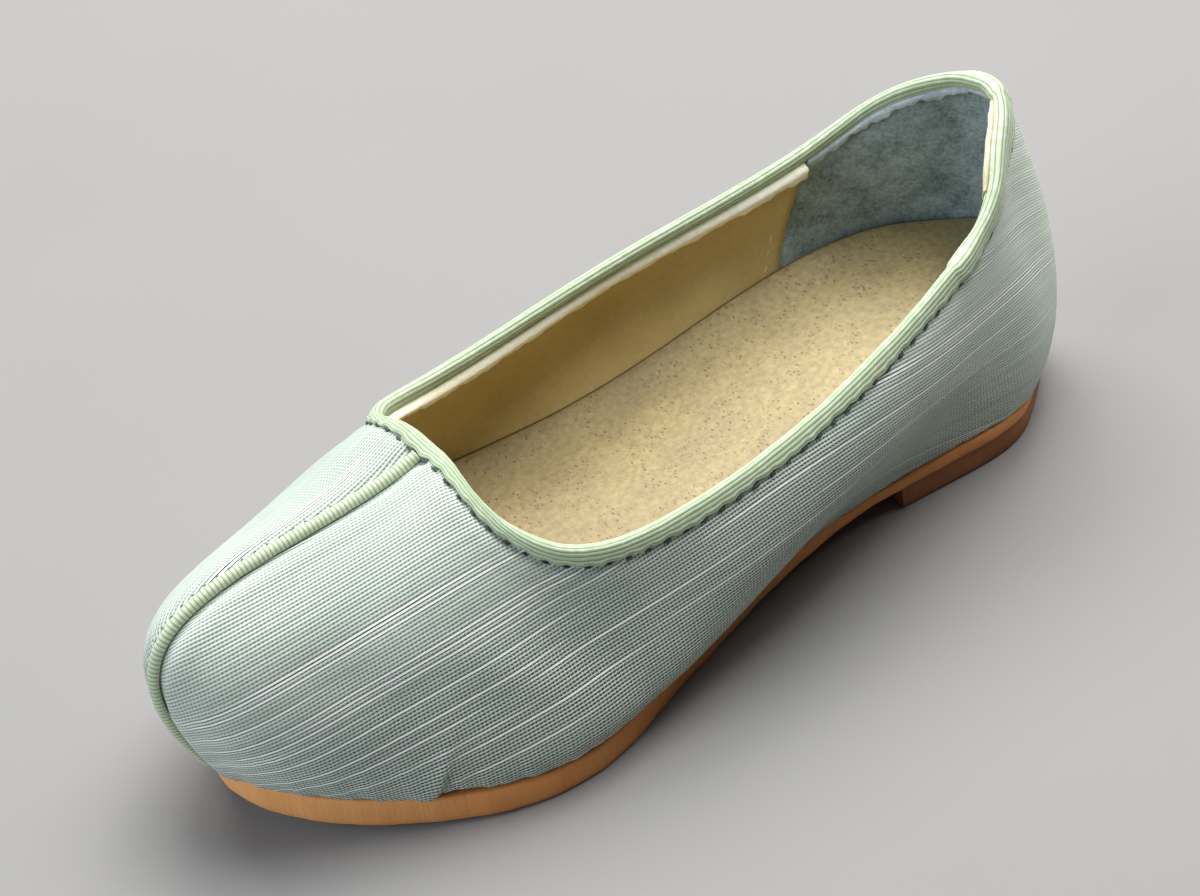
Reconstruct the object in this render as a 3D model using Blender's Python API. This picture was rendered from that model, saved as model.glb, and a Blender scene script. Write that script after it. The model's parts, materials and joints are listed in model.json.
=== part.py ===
"""Hanbok shoe for a child's left foot: lasted fabric upper on a thin leather sole.

X runs from the heel to the toe, Y to the wearer's left and Z up. Sizes are in
millimetres measured from the back of the outsole; make_solid writes metres about
the middle of the finished shoe.
"""
import bmesh
import bpy
import numpy as np

MM = 0.001
ORIGIN = (84.82, -0.63, 0.0)

# Fits
GAP = 0.3
STATIONS = 96

# Sole sizes, along the length from the back of the outsole
SOLE_THICK = 5.4
SEAT_THICK = 2.3
SOLE_EDGE_ROUND = 0.6
BALL_FRONT = 118.0
BALL_BACK = 92.0
ARCH_BACK = 48.0
HEEL_BREAST = 45.0
TOE_SPRING = 4.3
UNDER_SPRING = 3.4
SPRING_END = 168.0
HEEL_HEIGHT = 4.6
HEEL_INSET = 0.4
HEEL_STATIONS = 19
TOE_SWING = -2.8
SWING_START = 70.0

# Upper, insole and trim sizes
WALL = 1.8
RIM_WALL = 1.1
RIM_START = 12.0
RIM_FULL = 4.0
UPPER_ROWS = 15
BED_BALL = 11.3
BED_HEEL = 24.3
BED_FRONT = 100.0
BED_BACK = 14.0
BED_RINGS = 5
BINDING_THICK = 0.5
BINDING_OUTSIDE = 3.4
BINDING_INSIDE = 3.0
PIPING_WIDTH = 2.8
PIPING_HEIGHT = 1.2
PIPING_ROWS = 40
PIPING_FOOT = 0.006

# Sections fanned round the shoe, from the back seam to the centre front. Each one
# stands at spine_x and looks along bearing: the wall leaves the sole at reach, bows
# out by low and high handles and ends at the collar edge; sole_out is the outsole's
# lip beyond the wall.
COLUMNS = ("spine_x", "bearing", "reach", "low_out", "low_up",
           "high_out", "high_up", "edge_r", "edge_z", "sole_out")
SECTIONS = {
    "back":        (30.0, 180.0, 29.9, 5.8, 14.7, 6.8, -13.1, 24.0, 58.0, -0.7),
    "heel corner": (30.0, 140.0, 24.4, 6.5, 14.5, 0.1, -13.7, 20.0, 54.9, -0.9),
    "heel side":   (32.0, 95.0, 19.8, 3.8, 15.5, 4.9, -16.1, 20.7, 46.4, 0.7),
    "waist":       (66.0, 90.0, 20.2, 6.6, 11.2, 12.5, -14.6, 26.9, 39.1, -0.4),
    "ball":        (98.0, 85.0, 28.3, 10.4, 5.1, 5.9, -19.1, 27.6, 36.0, 0.2),
    "toe side":    (104.0, 60.0, 38.5, 5.6, 5.8, 5.3, -14.2, 24.2, 40.4, 0.4),
    "toe corner":  (104.0, 28.0, 49.4, 7.4, 10.8, 22.9, -4.4, 16.5, 46.8, 0.6),
    "toe":         (104.0, 0.0, 61.7, 20.3, 44.3, 19.9, -9.7, 14.2, 47.2, -1.2),
}

# Folded tape, as depth below the collar edge and distance out from the wall
OUT_FACE = GAP + BINDING_THICK
IN_FACE = -RIM_WALL - GAP - BINDING_THICK
BINDING_FOLD = (
    (BINDING_OUTSIDE, GAP),
    (BINDING_OUTSIDE, GAP + 0.5 * BINDING_THICK),
    (BINDING_OUTSIDE - 0.4, OUT_FACE),
    (0.9, OUT_FACE),
    (0.25, OUT_FACE - 0.4),
    (0.0, OUT_FACE - 1.0),
    (0.0, IN_FACE + 1.0),
    (0.25, IN_FACE + 0.4),
    (0.9, IN_FACE),
    (BINDING_INSIDE - 0.4, IN_FACE),
    (BINDING_INSIDE, IN_FACE + 0.5 * BINDING_THICK),
    (BINDING_INSIDE, IN_FACE + BINDING_THICK),
    (BINDING_THICK, IN_FACE + BINDING_THICK),
    (BINDING_THICK, GAP),
)

FINISHES = {
    "upper": ((0.44, 0.51, 0.45), 0.75),
    "collar_binding": ((0.52, 0.62, 0.46), 0.6),
    "front_piping": ((0.45, 0.53, 0.40), 0.6),
    "insole": ((0.58, 0.44, 0.27), 0.7),
    "outsole": ((0.46, 0.22, 0.08), 0.55),
    "heel": ((0.25, 0.11, 0.045), 0.55),
}


def spline(values, at):
    """Natural cubic curve through values at whole-number knots."""
    count = len(values)
    system = np.eye(count)
    bend = np.zeros((count, values.shape[1]))
    for i in range(1, count - 1):
        system[i, i - 1:i + 2] = (1.0, 4.0, 1.0)
        bend[i] = 6.0 * (values[i + 1] - 2.0 * values[i] + values[i - 1])
    bend = np.linalg.solve(system, bend)
    k = np.clip(np.floor(at).astype(int), 0, count - 2)
    b = (at - k)[..., None]
    a = 1.0 - b
    return (a * values[k] + b * values[k + 1]
            + ((a ** 3 - a) * bend[k] + (b ** 3 - b) * bend[k + 1]) / 6.0)


def section(u):
    """Columns of the section at u, 0 at the back seam and 1 at the centre front."""
    rows = np.array(list(SECTIONS.values()))
    ghosts = 3
    behind, ahead = rows[ghosts:0:-1].copy(), rows[-2:-2 - ghosts:-1].copy()
    behind[:, 1] = 360.0 - behind[:, 1]
    ahead[:, 1] = -ahead[:, 1]
    columns = spline(np.vstack([behind, rows, ahead]), u * (len(rows) - 1) + ghosts)
    return dict(zip(COLUMNS, np.moveaxis(columns, -1, 0)))


def eased(t):
    """Ease from 0 to 1."""
    t = np.clip(t, 0.0, 1.0)
    return t ** 2 * (3.0 - 2.0 * t)


def toe_rise(x, spring=TOE_SPRING):
    """Height gained by the toe spring."""
    return spring * np.clip((x - BALL_FRONT) / (SPRING_END - BALL_FRONT), 0.0, None) ** 2


def arch(x):
    """Share of the way up from the ball to the heel seat."""
    return eased((BALL_BACK - x) / (BALL_BACK - ARCH_BACK))


def underside(x):
    """Height of the outsole's underside: toe spring, flat ball, arch, heel seat."""
    return toe_rise(x, UNDER_SPRING) + HEEL_HEIGHT * arch(x)


def seat(x):
    """Height of the outsole's top face, where the upper and the insole stand."""
    return toe_rise(x) + SOLE_THICK + (HEEL_HEIGHT + SEAT_THICK - SOLE_THICK) * arch(x)


def footbed(x):
    """Height of the insole's top face: a hidden wedge lifts the heel."""
    lift = eased((BED_FRONT - x) / (BED_FRONT - BED_BACK))
    return toe_rise(x) + BED_BALL + (BED_HEEL - BED_BALL) * lift


def swung(points):
    """Turn the forefoot towards the inner side of the foot."""
    run = np.clip((points[..., 0] - SWING_START) / (SPRING_END - SWING_START), 0.0, None)
    points[..., 1] += TOE_SWING * run ** 2
    return points


def outline(u, side, out=0.0):
    """Plan of the feather line moved out, with zero height."""
    s = section(u)
    angle, reach = np.radians(s["bearing"]), s["reach"] + out
    return swung(np.stack([s["spine_x"] + reach * np.cos(angle),
                           side * reach * np.sin(angle), np.zeros_like(angle)], -1))


def wall(u, v, side):
    """Outer face of the upper, v from 0 at the feather line to 1 at the collar edge."""
    s = section(u)
    angle = np.radians(s["bearing"])
    foot = seat(s["spine_x"] + s["reach"] * np.cos(angle)) + GAP
    weights = ((1 - v) ** 3, 3 * v * (1 - v) ** 2, 3 * v ** 2 * (1 - v), v ** 3)
    radii = (s["reach"], s["reach"] + s["low_out"], s["edge_r"] + s["high_out"], s["edge_r"])
    heights = (foot, foot + s["low_up"], s["edge_z"] + s["high_up"], s["edge_z"])
    r = sum(w * value for w, value in zip(weights, radii))
    z = sum(w * value for w, value in zip(weights, heights))
    return swung(np.stack([s["spine_x"] + r * np.cos(angle), side * r * np.sin(angle), z], -1))


def wall_frame(u, v, side):
    """Point on the wall, the way up along it and the way out of it."""
    step = 1e-4
    up = wall(u, v + step, side) - wall(u, v - step, side)
    along = (wall(u + step, v, side) - wall(u - step, v, side)) * side[..., None]
    out = np.cross(up, along)
    unit = [a / np.linalg.norm(a, axis=-1, keepdims=True) for a in (up, out)]
    return wall(u, v, side), unit[0], unit[1]


def v_at_depth(u, side, depth):
    """Wall height v that lies depth below the collar edge, measured along the wall."""
    v = np.linspace(0.0, 1.0, 81)
    path = wall(u[:, None], v[None, :], side[:, None])
    steps = np.linalg.norm(np.diff(path, axis=1), axis=-1)
    below = np.concatenate([np.cumsum(steps[:, ::-1], axis=1)[:, ::-1], 0.0 * u[:, None]], 1)
    return np.array([np.interp(-depth, -row, v) for row in below])


def inner_at_height(u, side, inset, height):
    """Where the wall's face moved in by inset stands each height above the outsole."""
    v = np.linspace(0.0, 0.5, 41)
    grid = np.broadcast_arrays(u[:, None], v[None, :], side[:, None])
    point, up, out = wall_frame(*grid)
    face = point - inset * out
    drop = face[:, :1, 2:] - seat(face[:, :1, :1])
    foot = face[:, :1] - up[:, :1] / up[:, :1, 2:] * drop
    face = np.concatenate([foot, face], 1)
    above = face[..., 2] - seat(face[..., 0])
    height = np.broadcast_to(height, u.shape)
    found = np.array([[np.interp(height[i], above[i], face[i, :, k]) for k in range(2)]
                      for i in range(len(u))])
    return np.column_stack([found, seat(found[:, 0]) + height])


def loop(count=STATIONS):
    """Stations round the shoe: back seam, wearer's left side, toe, right side."""
    w = 2.0 * np.arange(count) / count
    return np.where(w <= 1.0, w, 2.0 - w), np.where(w <= 1.0, 1.0, -1.0)


def rings_faces(rings, count, closed):
    """Quads between neighbouring rings of count points."""
    pairs = range(rings if closed else rings - 1)
    return [(r * count + i, r * count + (i + 1) % count,
             (r + 1) % rings * count + (i + 1) % count, (r + 1) % rings * count + i)
            for r in pairs for i in range(count)]


def cap_faces(first, count):
    """Faces across a ring, rung by rung from its first point."""
    rungs = []
    for i in range(count // 2):
        corners = (i, i + 1, count - i - 1, (count - i) % count)
        rungs.append(tuple(first + c for c in dict.fromkeys(corners)))
    return rungs


def make_material(name, colour, roughness):
    """Plain finish of one sub-part."""
    material = bpy.data.materials.new(name)
    material.use_nodes = True
    shader = material.node_tree.nodes["Principled BSDF"]
    shader.inputs["Base Color"].default_value = (*colour, 1.0)
    shader.inputs["Roughness"].default_value = roughness
    shader.inputs["Metallic"].default_value = 0.0
    return material


def make_solid(name, rings, faces, collection):
    """Named closed solid from rings of points in millimetres."""
    points = (np.concatenate(rings) - np.array(ORIGIN)) * MM
    mesh = bpy.data.meshes.new(name)
    mesh.from_pydata(points.tolist(), [], faces)
    shell = bmesh.new()
    shell.from_mesh(mesh)
    bmesh.ops.recalc_face_normals(shell, faces=shell.faces)
    shell.to_mesh(mesh)
    shell.free()
    mesh.materials.append(make_material(name, *FINISHES[name]))
    solid = bpy.data.objects.new(name, mesh)
    collection.objects.link(solid)
    return solid


def stacked(rings):
    """Faces of a solid made of stacked rings with a cap at each end."""
    count, last = len(rings[0]), len(rings) - 1
    return rings_faces(len(rings), count, False) + cap_faces(0, count) + cap_faces(last * count, count)


def make_outsole(collection):
    """Thin sole with rounded lower edge, following the feather line."""
    u, side = loop()
    lip = section(u)["sole_out"]
    under = outline(u, side, lip - SOLE_EDGE_ROUND)
    under[:, 2] = underside(under[:, 0])
    low = outline(u, side, lip)
    low[:, 2] = underside(low[:, 0]) + SOLE_EDGE_ROUND
    high = outline(u, side, lip)
    high[:, 2] = seat(high[:, 0])
    rings = [under, low, high]
    return make_solid("outsole", rings, stacked(rings), collection)


def make_heel(collection):
    """Low block under the heel seat, cut off upright at the breast."""
    fine = np.linspace(0.0, 0.6, 601)
    across = outline(fine, np.ones_like(fine), section(fine)["sole_out"] - HEEL_INSET)
    breast = np.interp(HEEL_BREAST, across[:, 0], fine)
    half = np.linspace(0.0, breast, HEEL_STATIONS)
    u = np.concatenate([half, half[:0:-1]])
    side = np.concatenate([np.ones(HEEL_STATIONS), -np.ones(HEEL_STATIONS - 1)])
    tread, top = [outline(u, side, section(u)["sole_out"] - HEEL_INSET - inset)
                  for inset in (0.5, 0.0)]
    low = top.copy()
    low[:, 2] = SOLE_EDGE_ROUND
    top[:, 2] = HEEL_HEIGHT - GAP
    rings = [tread, low, top]
    return make_solid("heel", rings, stacked(rings), collection)


def make_upper(collection):
    """Hollow lasted wall, open at the collar and underneath."""
    u, side = loop()
    top = v_at_depth(u, side, BINDING_THICK + GAP)
    rim = v_at_depth(u, side, RIM_START)
    full = v_at_depth(u, side, RIM_FULL)
    outer, inner = [], []
    for t in np.linspace(0.0, 1.0, UPPER_ROWS):
        point, _, out = wall_frame(u, t * top, side)
        thin = np.clip((t * top - rim) / (full - rim), 0.0, 1.0)[:, None]
        outer.append(point)
        inner.append(point - (WALL + (RIM_WALL - WALL) * thin) * out)
    inner[0] = inner_at_height(u, side, WALL, GAP)
    outer[0][:, 2] = seat(outer[0][:, 0]) + GAP
    rings = outer + inner[::-1]
    return make_solid("upper", rings, rings_faces(len(rings), STATIONS, True), collection)


def make_insole(collection):
    """Footbed that fills the floor inside the wall, thicker towards the heel."""
    u, side = loop()
    thick = footbed(outline(u, side)[:, 0]) - seat(outline(u, side)[:, 0]) - GAP
    rings = [inner_at_height(u, side, WALL + GAP, GAP + share * thick)
             for share in np.linspace(0.0, 1.0, BED_RINGS)]
    rings[-1][:, 2] = footbed(rings[-1][:, 0])
    return make_solid("insole", rings, stacked(rings), collection)


def make_binding(collection):
    """Tape folded over the collar edge."""
    u, side = loop()
    rings = []
    for depth, distance in BINDING_FOLD:
        point, _, out = wall_frame(u, v_at_depth(u, side, depth), side)
        rings.append(point + distance * out)
    return make_solid("collar_binding", rings, rings_faces(len(rings), STATIONS, True), collection)


def make_piping(collection):
    """Raised cord along the centre front, from the sole to the binding."""
    one = np.ones(1)
    end = v_at_depth(one, one, BINDING_OUTSIDE + GAP)[0]
    v = np.linspace(PIPING_FOOT, end, PIPING_ROWS)
    u = np.ones_like(v)
    point, up, out = wall_frame(u, v, u)
    across = np.cross(out, up)
    rings = []
    for angle in np.linspace(0.0, np.pi, 9):
        rise = GAP + PIPING_HEIGHT * np.sin(angle)
        rings.append(point + 0.5 * PIPING_WIDTH * np.cos(angle) * across + rise * out)
    rings = list(np.swapaxes(np.array(rings), 0, 1))
    return make_solid("front_piping", rings, stacked(rings), collection)


def clear_scene():
    """Start from an empty scene."""
    for item in list(bpy.data.objects):
        bpy.data.objects.remove(item, do_unlink=True)


def main():
    """Build every sub-part of the shoe."""
    clear_scene()
    collection = bpy.data.collections.new("hanbok_shoe")
    bpy.context.scene.collection.children.link(collection)
    for make in (make_outsole, make_heel, make_upper, make_insole, make_binding, make_piping):
        make(collection)


main()
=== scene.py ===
"""Looks of a child's hanbok shoe: slub cloth upper, ribbed binding and piping, leather sole.

The shapes follow the same named sections as the solids. Lengths are millimetres from the
back of the outsole until add_mesh and add_path write them in metres about the shoe's own origin.
"""

import json
import logging
import math
from dataclasses import dataclass
from enum import Enum
from functools import partial

import bmesh
import bpy
import numpy as np
from mathutils import Matrix, Vector

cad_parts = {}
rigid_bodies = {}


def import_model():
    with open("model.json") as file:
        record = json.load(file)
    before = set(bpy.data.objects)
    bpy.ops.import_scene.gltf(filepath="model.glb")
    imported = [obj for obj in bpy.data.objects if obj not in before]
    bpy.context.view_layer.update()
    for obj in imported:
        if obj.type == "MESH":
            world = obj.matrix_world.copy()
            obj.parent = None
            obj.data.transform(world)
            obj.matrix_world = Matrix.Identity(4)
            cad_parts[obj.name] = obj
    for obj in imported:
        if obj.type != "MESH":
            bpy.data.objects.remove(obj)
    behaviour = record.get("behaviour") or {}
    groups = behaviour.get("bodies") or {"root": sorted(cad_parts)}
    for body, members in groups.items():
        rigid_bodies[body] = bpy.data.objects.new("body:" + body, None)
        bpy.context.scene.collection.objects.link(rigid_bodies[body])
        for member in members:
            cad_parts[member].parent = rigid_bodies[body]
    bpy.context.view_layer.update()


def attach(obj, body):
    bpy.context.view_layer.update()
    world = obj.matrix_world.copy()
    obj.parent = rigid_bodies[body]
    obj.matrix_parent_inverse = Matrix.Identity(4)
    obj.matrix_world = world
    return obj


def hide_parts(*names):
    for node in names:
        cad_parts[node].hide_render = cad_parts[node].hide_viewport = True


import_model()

Array = np.ndarray
Object = bpy.types.Object
Material = bpy.types.Material
Tree = bpy.types.NodeTree
Node = bpy.types.Node
Socket = bpy.types.NodeSocket
Feeds = dict[int | str, object]
Looks = tuple[Node | Socket, Node | Socket]
Pairs = tuple[tuple[float, float], ...]
Place = tuple[float, float, float]
Waves = tuple[Place, ...]

MM = 0.001
ORIGIN = np.array((84.82, -0.63, 0.0))
BODY = "root"
LAY = "lay"
OUT = "out"
ALONG = "along"


class Slot(Enum):
    """Material slots of the record."""

    SOLE = "sole_leather"
    HEEL = "heel_leather"
    CLOTH = "slub_fabric"
    SOCK = "sock_leather"
    BINDING = "binding_tape"
    PIPING = "piping_cord"


class Side(Enum):
    """Side of the shoe, as the sign of its width."""

    WEARERS_LEFT = 1.0
    WEARERS_RIGHT = -1.0


def linear(code: str) -> tuple[float, float, float, float]:
    """Turn an sRGB hex colour into linear light.

    Args:
        code: six hex digits after a hash sign.

    Returns:
        Red, green, blue and a full alpha.
    """
    parts = [int(code[i:i + 2], 16) / 255.0 for i in (1, 3, 5)]
    red, green, blue = (c / 12.92 if c <= 0.04045 else ((c + 0.055) / 1.055) ** 2.4 for c in parts)
    return red, green, blue, 1.0


def feed(tree: Tree, node: Node, feeds: Feeds) -> None:
    """Link or set inputs of a node.

    Args:
        tree: shader or geometry tree.
        node: node to feed.
        feeds: for each input, by its name or index: a value, a hex colour, an output
            socket, or a node whose first live output is meant.
    """
    for key, value in feeds.items():
        if isinstance(value, Node):
            value = next(socket for socket in value.outputs if socket.enabled)
        if isinstance(value, Socket):
            tree.links.new(value, node.inputs[key])
        else:
            is_colour = isinstance(value, str) and value.startswith("#")
            node.inputs[key].default_value = linear(value) if is_colour else value


def add_node(tree: Tree, kind: str, feeds: Feeds | None = None, **settings: object) -> Node:
    """Add a node, set it up and feed its inputs.

    Args:
        tree: shader or geometry tree.
        kind: Blender's name of the node type.
        feeds: what goes into each input, as feed takes it.
        settings: properties of the node.

    Returns:
        The new node.
    """
    node = tree.nodes.new(kind)
    for key, value in settings.items():
        setattr(node, key, value)
    feed(tree, node, feeds or {})
    return node


def per(length: float) -> float:
    """Texture scale that repeats once in a length of millimetres, on Object coordinates."""
    return 1.0 / (length * MM)


def smooth_step(value: Array) -> Array:
    """Ease from 0 to 1 over the same range of value."""
    t = np.clip(value, 0.0, 1.0)
    return t * t * (3.0 - 2.0 * t)


def bell(value: Array) -> Array:
    """Bell curve that is 1 at zero and about a third at one."""
    return np.exp(-value ** 2)


def ripple(place: Array, waves: Waves) -> Array:
    """Add up a few sine waves.

    Args:
        place: distance along, in millimetres.
        waves: height, length and start of each wave.

    Returns:
        Height at each place.
    """
    return sum(high * np.sin(2.0 * math.pi * place / length + start) for high, length, start in waves)


def travelled(points: Array, axis: int) -> Array:
    """Distance covered along an axis of a grid of points, from its first point.

    Args:
        points: places to work on.
        axis: axis to go along.

    Returns:
        Distance at each place.
    """
    steps = np.linalg.norm(np.diff(points, axis=axis), axis=-1)
    start = np.zeros_like(np.take(steps, [0], axis=axis))
    return np.concatenate([start, np.cumsum(steps, axis=axis)], axis=axis)


# Sections fanned round the shoe from the back seam to the centre front. Each one stands at
# spine_x and looks along bearing: the wall leaves the sole at reach, bows out by its low and
# high handles and ends at the collar edge; sole_out is the outsole's lip beyond the wall.
COLUMNS = ("spine_x", "bearing", "reach", "low_out", "low_up",
           "high_out", "high_up", "edge_r", "edge_z", "sole_out")
SECTIONS = {
    "back":        (30.0, 180.0, 29.9, 5.8, 14.7, 6.8, -13.1, 24.0, 58.0, -0.7),
    "heel corner": (30.0, 140.0, 24.4, 6.5, 14.5, 0.1, -13.7, 20.0, 54.9, -0.9),
    "heel side":   (32.0, 95.0, 19.8, 3.8, 15.5, 4.9, -16.1, 20.7, 46.4, 0.7),
    "waist":       (66.0, 90.0, 20.2, 6.6, 11.2, 12.5, -14.6, 26.9, 39.1, -0.4),
    "ball":        (98.0, 85.0, 28.3, 10.4, 5.1, 5.9, -19.1, 27.6, 36.0, 0.2),
    "toe side":    (104.0, 60.0, 38.5, 5.6, 5.8, 5.3, -14.2, 24.2, 40.4, 0.4),
    "toe corner":  (104.0, 28.0, 49.4, 7.4, 10.8, 22.9, -4.4, 16.5, 46.8, 0.6),
    "toe":         (104.0, 0.0, 61.7, 20.3, 44.3, 19.9, -9.7, 14.2, 47.2, -1.2),
}


@dataclass(frozen=True)
class Last:
    """Form that the upper, the linings and the sole share."""

    sole_thick: float = 5.4
    seat_thick: float = 2.3
    ball_front: float = 118.0
    ball_back: float = 92.0
    arch_back: float = 48.0
    heel_breast: float = 45.0
    toe_spring: float = 4.3
    under_spring: float = 3.4
    spring_end: float = 168.0
    heel_height: float = 4.6
    toe_swing: float = -2.8
    swing_start: float = 70.0
    fit_gap: float = 0.3
    wall: float = 1.8
    rim_wall: float = 1.1
    rim_start: float = 12.0
    rim_full: float = 4.0
    bed_ball: float = 11.3
    bed_heel: float = 24.3
    bed_front: float = 100.0
    bed_back: float = 14.0
    tape_back: float = 3.15
    tape_throat: float = 2.7
    tape_heel: float = 1.8
    tape_heel_at: float = 0.10
    tape_heel_half: float = 0.09
    throat_start: float = 0.68
    throat_run: float = 0.12

    @staticmethod
    def spline(values: Array, at: Array) -> Array:
        """Natural cubic curve through values at whole-number knots.

        Args:
            values: one row per knot.
            at: places along the knots.

        Returns:
            One row per place.
        """
        count = len(values)
        system = np.eye(count)
        bend = np.zeros((count, values.shape[1]))
        for i in range(1, count - 1):
            system[i, i - 1:i + 2] = (1.0, 4.0, 1.0)
            bend[i] = 6.0 * (values[i + 1] - 2.0 * values[i] + values[i - 1])
        bend = np.linalg.solve(system, bend)
        k = np.clip(np.floor(at).astype(int), 0, count - 2)
        b = (at - k)[..., None]
        a = 1.0 - b
        return (a * values[k] + b * values[k + 1]
                + ((a ** 3 - a) * bend[k] + (b ** 3 - b) * bend[k + 1]) / 6.0)

    def section(self, u: Array) -> dict[str, Array]:
        """Columns of the section at u, 0 at the back seam and 1 at the centre front.

        Args:
            u: stations, 0 at the back seam and 1 at the centre front.

        Returns:
            Each column by its name, with a value for each station.
        """
        rows = np.array(list(SECTIONS.values()))
        ghosts = 3
        behind, ahead = rows[ghosts:0:-1].copy(), rows[-2:-2 - ghosts:-1].copy()
        behind[:, 1] = 360.0 - behind[:, 1]
        ahead[:, 1] = -ahead[:, 1]
        columns = self.spline(np.vstack([behind, rows, ahead]), u * (len(rows) - 1) + ghosts)
        return dict(zip(COLUMNS, np.moveaxis(columns, -1, 0)))

    def toe_rise(self, x: Array, spring: float) -> Array:
        """Height gained towards the toe by a spring."""
        run = (x - self.ball_front) / (self.spring_end - self.ball_front)
        return spring * np.clip(run, 0.0, None) ** 2

    def arch(self, x: Array) -> Array:
        """Share of the way up from the ball to the heel seat."""
        return smooth_step((self.ball_back - x) / (self.ball_back - self.arch_back))

    def underside(self, x: Array) -> Array:
        """Height of the outsole's underside: toe spring, flat ball, arch, heel seat."""
        return self.toe_rise(x, self.under_spring) + self.heel_height * self.arch(x)

    def thick_at(self, x: Array) -> Array:
        """Thickness of the outsole, less under the heel."""
        return self.seat(x) - self.underside(x)

    def seat(self, x: Array) -> Array:
        """Height of the outsole's top face."""
        lift = self.heel_height + self.seat_thick - self.sole_thick
        return self.toe_rise(x, self.toe_spring) + self.sole_thick + lift * self.arch(x)

    def footbed(self, x: Array) -> Array:
        """Height of the insole's top face: a hidden wedge lifts the heel.

        Args:
            x: places along the shoe.

        Returns:
            Height at each place.
        """
        lift = smooth_step((self.bed_front - x) / (self.bed_front - self.bed_back))
        rise = self.toe_rise(x, self.toe_spring)
        return rise + self.bed_ball + (self.bed_heel - self.bed_ball) * lift

    def swung(self, points: Array) -> Array:
        """Turn the forefoot towards the inner side of the foot.

        Args:
            points: places to work on.

        Returns:
            The same places, moved.
        """
        run = (points[..., 0] - self.swing_start) / (self.spring_end - self.swing_start)
        points[..., 1] += self.toe_swing * np.clip(run, 0.0, None) ** 2
        return points

    def outline(self, u: Array, side: Array, out: Array) -> Array:
        """Plan of the feather line moved out, with zero height.

        Args:
            u: stations, 0 at the back seam and 1 at the centre front.
            side: side of each station, 1 or -1.
            out: distance outwards.

        Returns:
            Places of the line.
        """
        s = self.section(u)
        angle, reach = np.radians(s["bearing"]), s["reach"] + out
        return self.swung(np.stack([s["spine_x"] + reach * np.cos(angle),
                                    side * reach * np.sin(angle), np.zeros_like(angle)], -1))

    def face(self, u: Array, v: Array, side: Array) -> Array:
        """Outer face of the upper, v from 0 at the feather line to 1 at the collar edge.

        Args:
            u: stations, 0 at the back seam and 1 at the centre front.
            v: heights on the wall, 0 at the feather line and 1 at the collar edge.
            side: side of each station, 1 or -1.

        Returns:
            Places on the face.
        """
        s = self.section(u)
        angle = np.radians(s["bearing"])
        foot = self.seat(s["spine_x"] + s["reach"] * np.cos(angle)) + self.fit_gap
        weights = ((1 - v) ** 3, 3 * v * (1 - v) ** 2, 3 * v ** 2 * (1 - v), v ** 3)
        radii = (s["reach"], s["reach"] + s["low_out"], s["edge_r"] + s["high_out"], s["edge_r"])
        heights = (foot, foot + s["low_up"], s["edge_z"] + s["high_up"], s["edge_z"])
        r = sum(w * value for w, value in zip(weights, radii))
        z = sum(w * value for w, value in zip(weights, heights))
        return self.swung(np.stack([s["spine_x"] + r * np.cos(angle), side * r * np.sin(angle), z], -1))

    def face_frame(self, u: Array, v: Array, side: Array) -> tuple[Array, Array, Array]:
        """Point on the upper's outer face, the way up along it and the way out of it.

        Args:
            u: stations, 0 at the back seam and 1 at the centre front.
            v: heights on the wall, 0 at the feather line and 1 at the collar edge.
            side: side of each station, 1 or -1.

        Returns:
            The point, the unit way up and the unit way out.
        """
        step = 1e-4
        up = self.face(u, v + step, side) - self.face(u, v - step, side)
        along = (self.face(u + step, v, side) - self.face(u - step, v, side)) * side[..., None]
        out = np.cross(up, along)
        up, out = (a / np.linalg.norm(a, axis=-1, keepdims=True) for a in (up, out))
        return self.face(u, v, side), up, out

    def v_at_depth(self, u: Array, side: Array, depth: Array | float) -> Array:
        """Wall height v that lies depth below the collar edge, measured along the wall.

        Args:
            u: stations in one row.
            side: side of each station.
            depth: one depth, or one for each station.

        Returns:
            One v for each station.
        """
        v = np.linspace(0.0, 1.0, 81)
        path = self.face(u[:, None], v[None, :], side[:, None])
        below = travelled(path[:, ::-1], 1)[:, ::-1]
        depths = np.broadcast_to(depth, u.shape)
        return np.array([np.interp(-d, -row, v) for d, row in zip(depths, below)])

    def at_depth(self, u: Array, side: Array, depth: Array | float,
                 distance: Array | float) -> Array:
        """Points that lie depth below the collar edge and distance out of the wall.

        Args:
            u: stations, 0 at the back seam and 1 at the centre front.
            side: side of each station, 1 or -1.
            depth: depth below the collar edge.
            distance: distance out of the wall.

        Returns:
            One place for each station.
        """
        depth, distance = (np.broadcast_to(a, u.shape) for a in (depth, distance))
        point, up, out = self.face_frame(u, self.v_at_depth(u, side, np.maximum(depth, 0.0)), side)
        return point + distance[:, None] * out + np.maximum(-depth, 0.0)[:, None] * up

    def inner_at_height(self, u: Array, side: Array, inset: float, height: Array | float) -> Array:
        """Where the wall's face moved in by inset stands each height above the outsole.

        Args:
            u: stations, 0 at the back seam and 1 at the centre front.
            side: side of each station, 1 or -1.
            inset: distance in from the outer face.
            height: height above the outsole.

        Returns:
            One place for each station.
        """
        v = np.linspace(0.0, 0.5, 41)
        point, up, out = self.face_frame(*np.broadcast_arrays(u[:, None], v[None, :], side[:, None]))
        face = point - inset * out
        drop = face[:, :1, 2:] - self.seat(face[:, :1, :1])
        foot = face[:, :1] - up[:, :1] / up[:, :1, 2:] * drop
        face = np.concatenate([foot, face], 1)
        above = face[..., 2] - self.seat(face[..., 0])
        heights = np.broadcast_to(height, u.shape)
        found = np.array([[np.interp(heights[i], above[i], face[i, :, k]) for k in range(2)]
                          for i in range(len(u))])
        return np.column_stack([found, self.seat(found[:, 0]) + height])

    def wall_at(self, depth: Array) -> Array:
        """Thickness of the wall, thinner towards the collar edge."""
        return np.interp(depth, (self.rim_full, self.rim_start), (self.rim_wall, self.wall))

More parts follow.
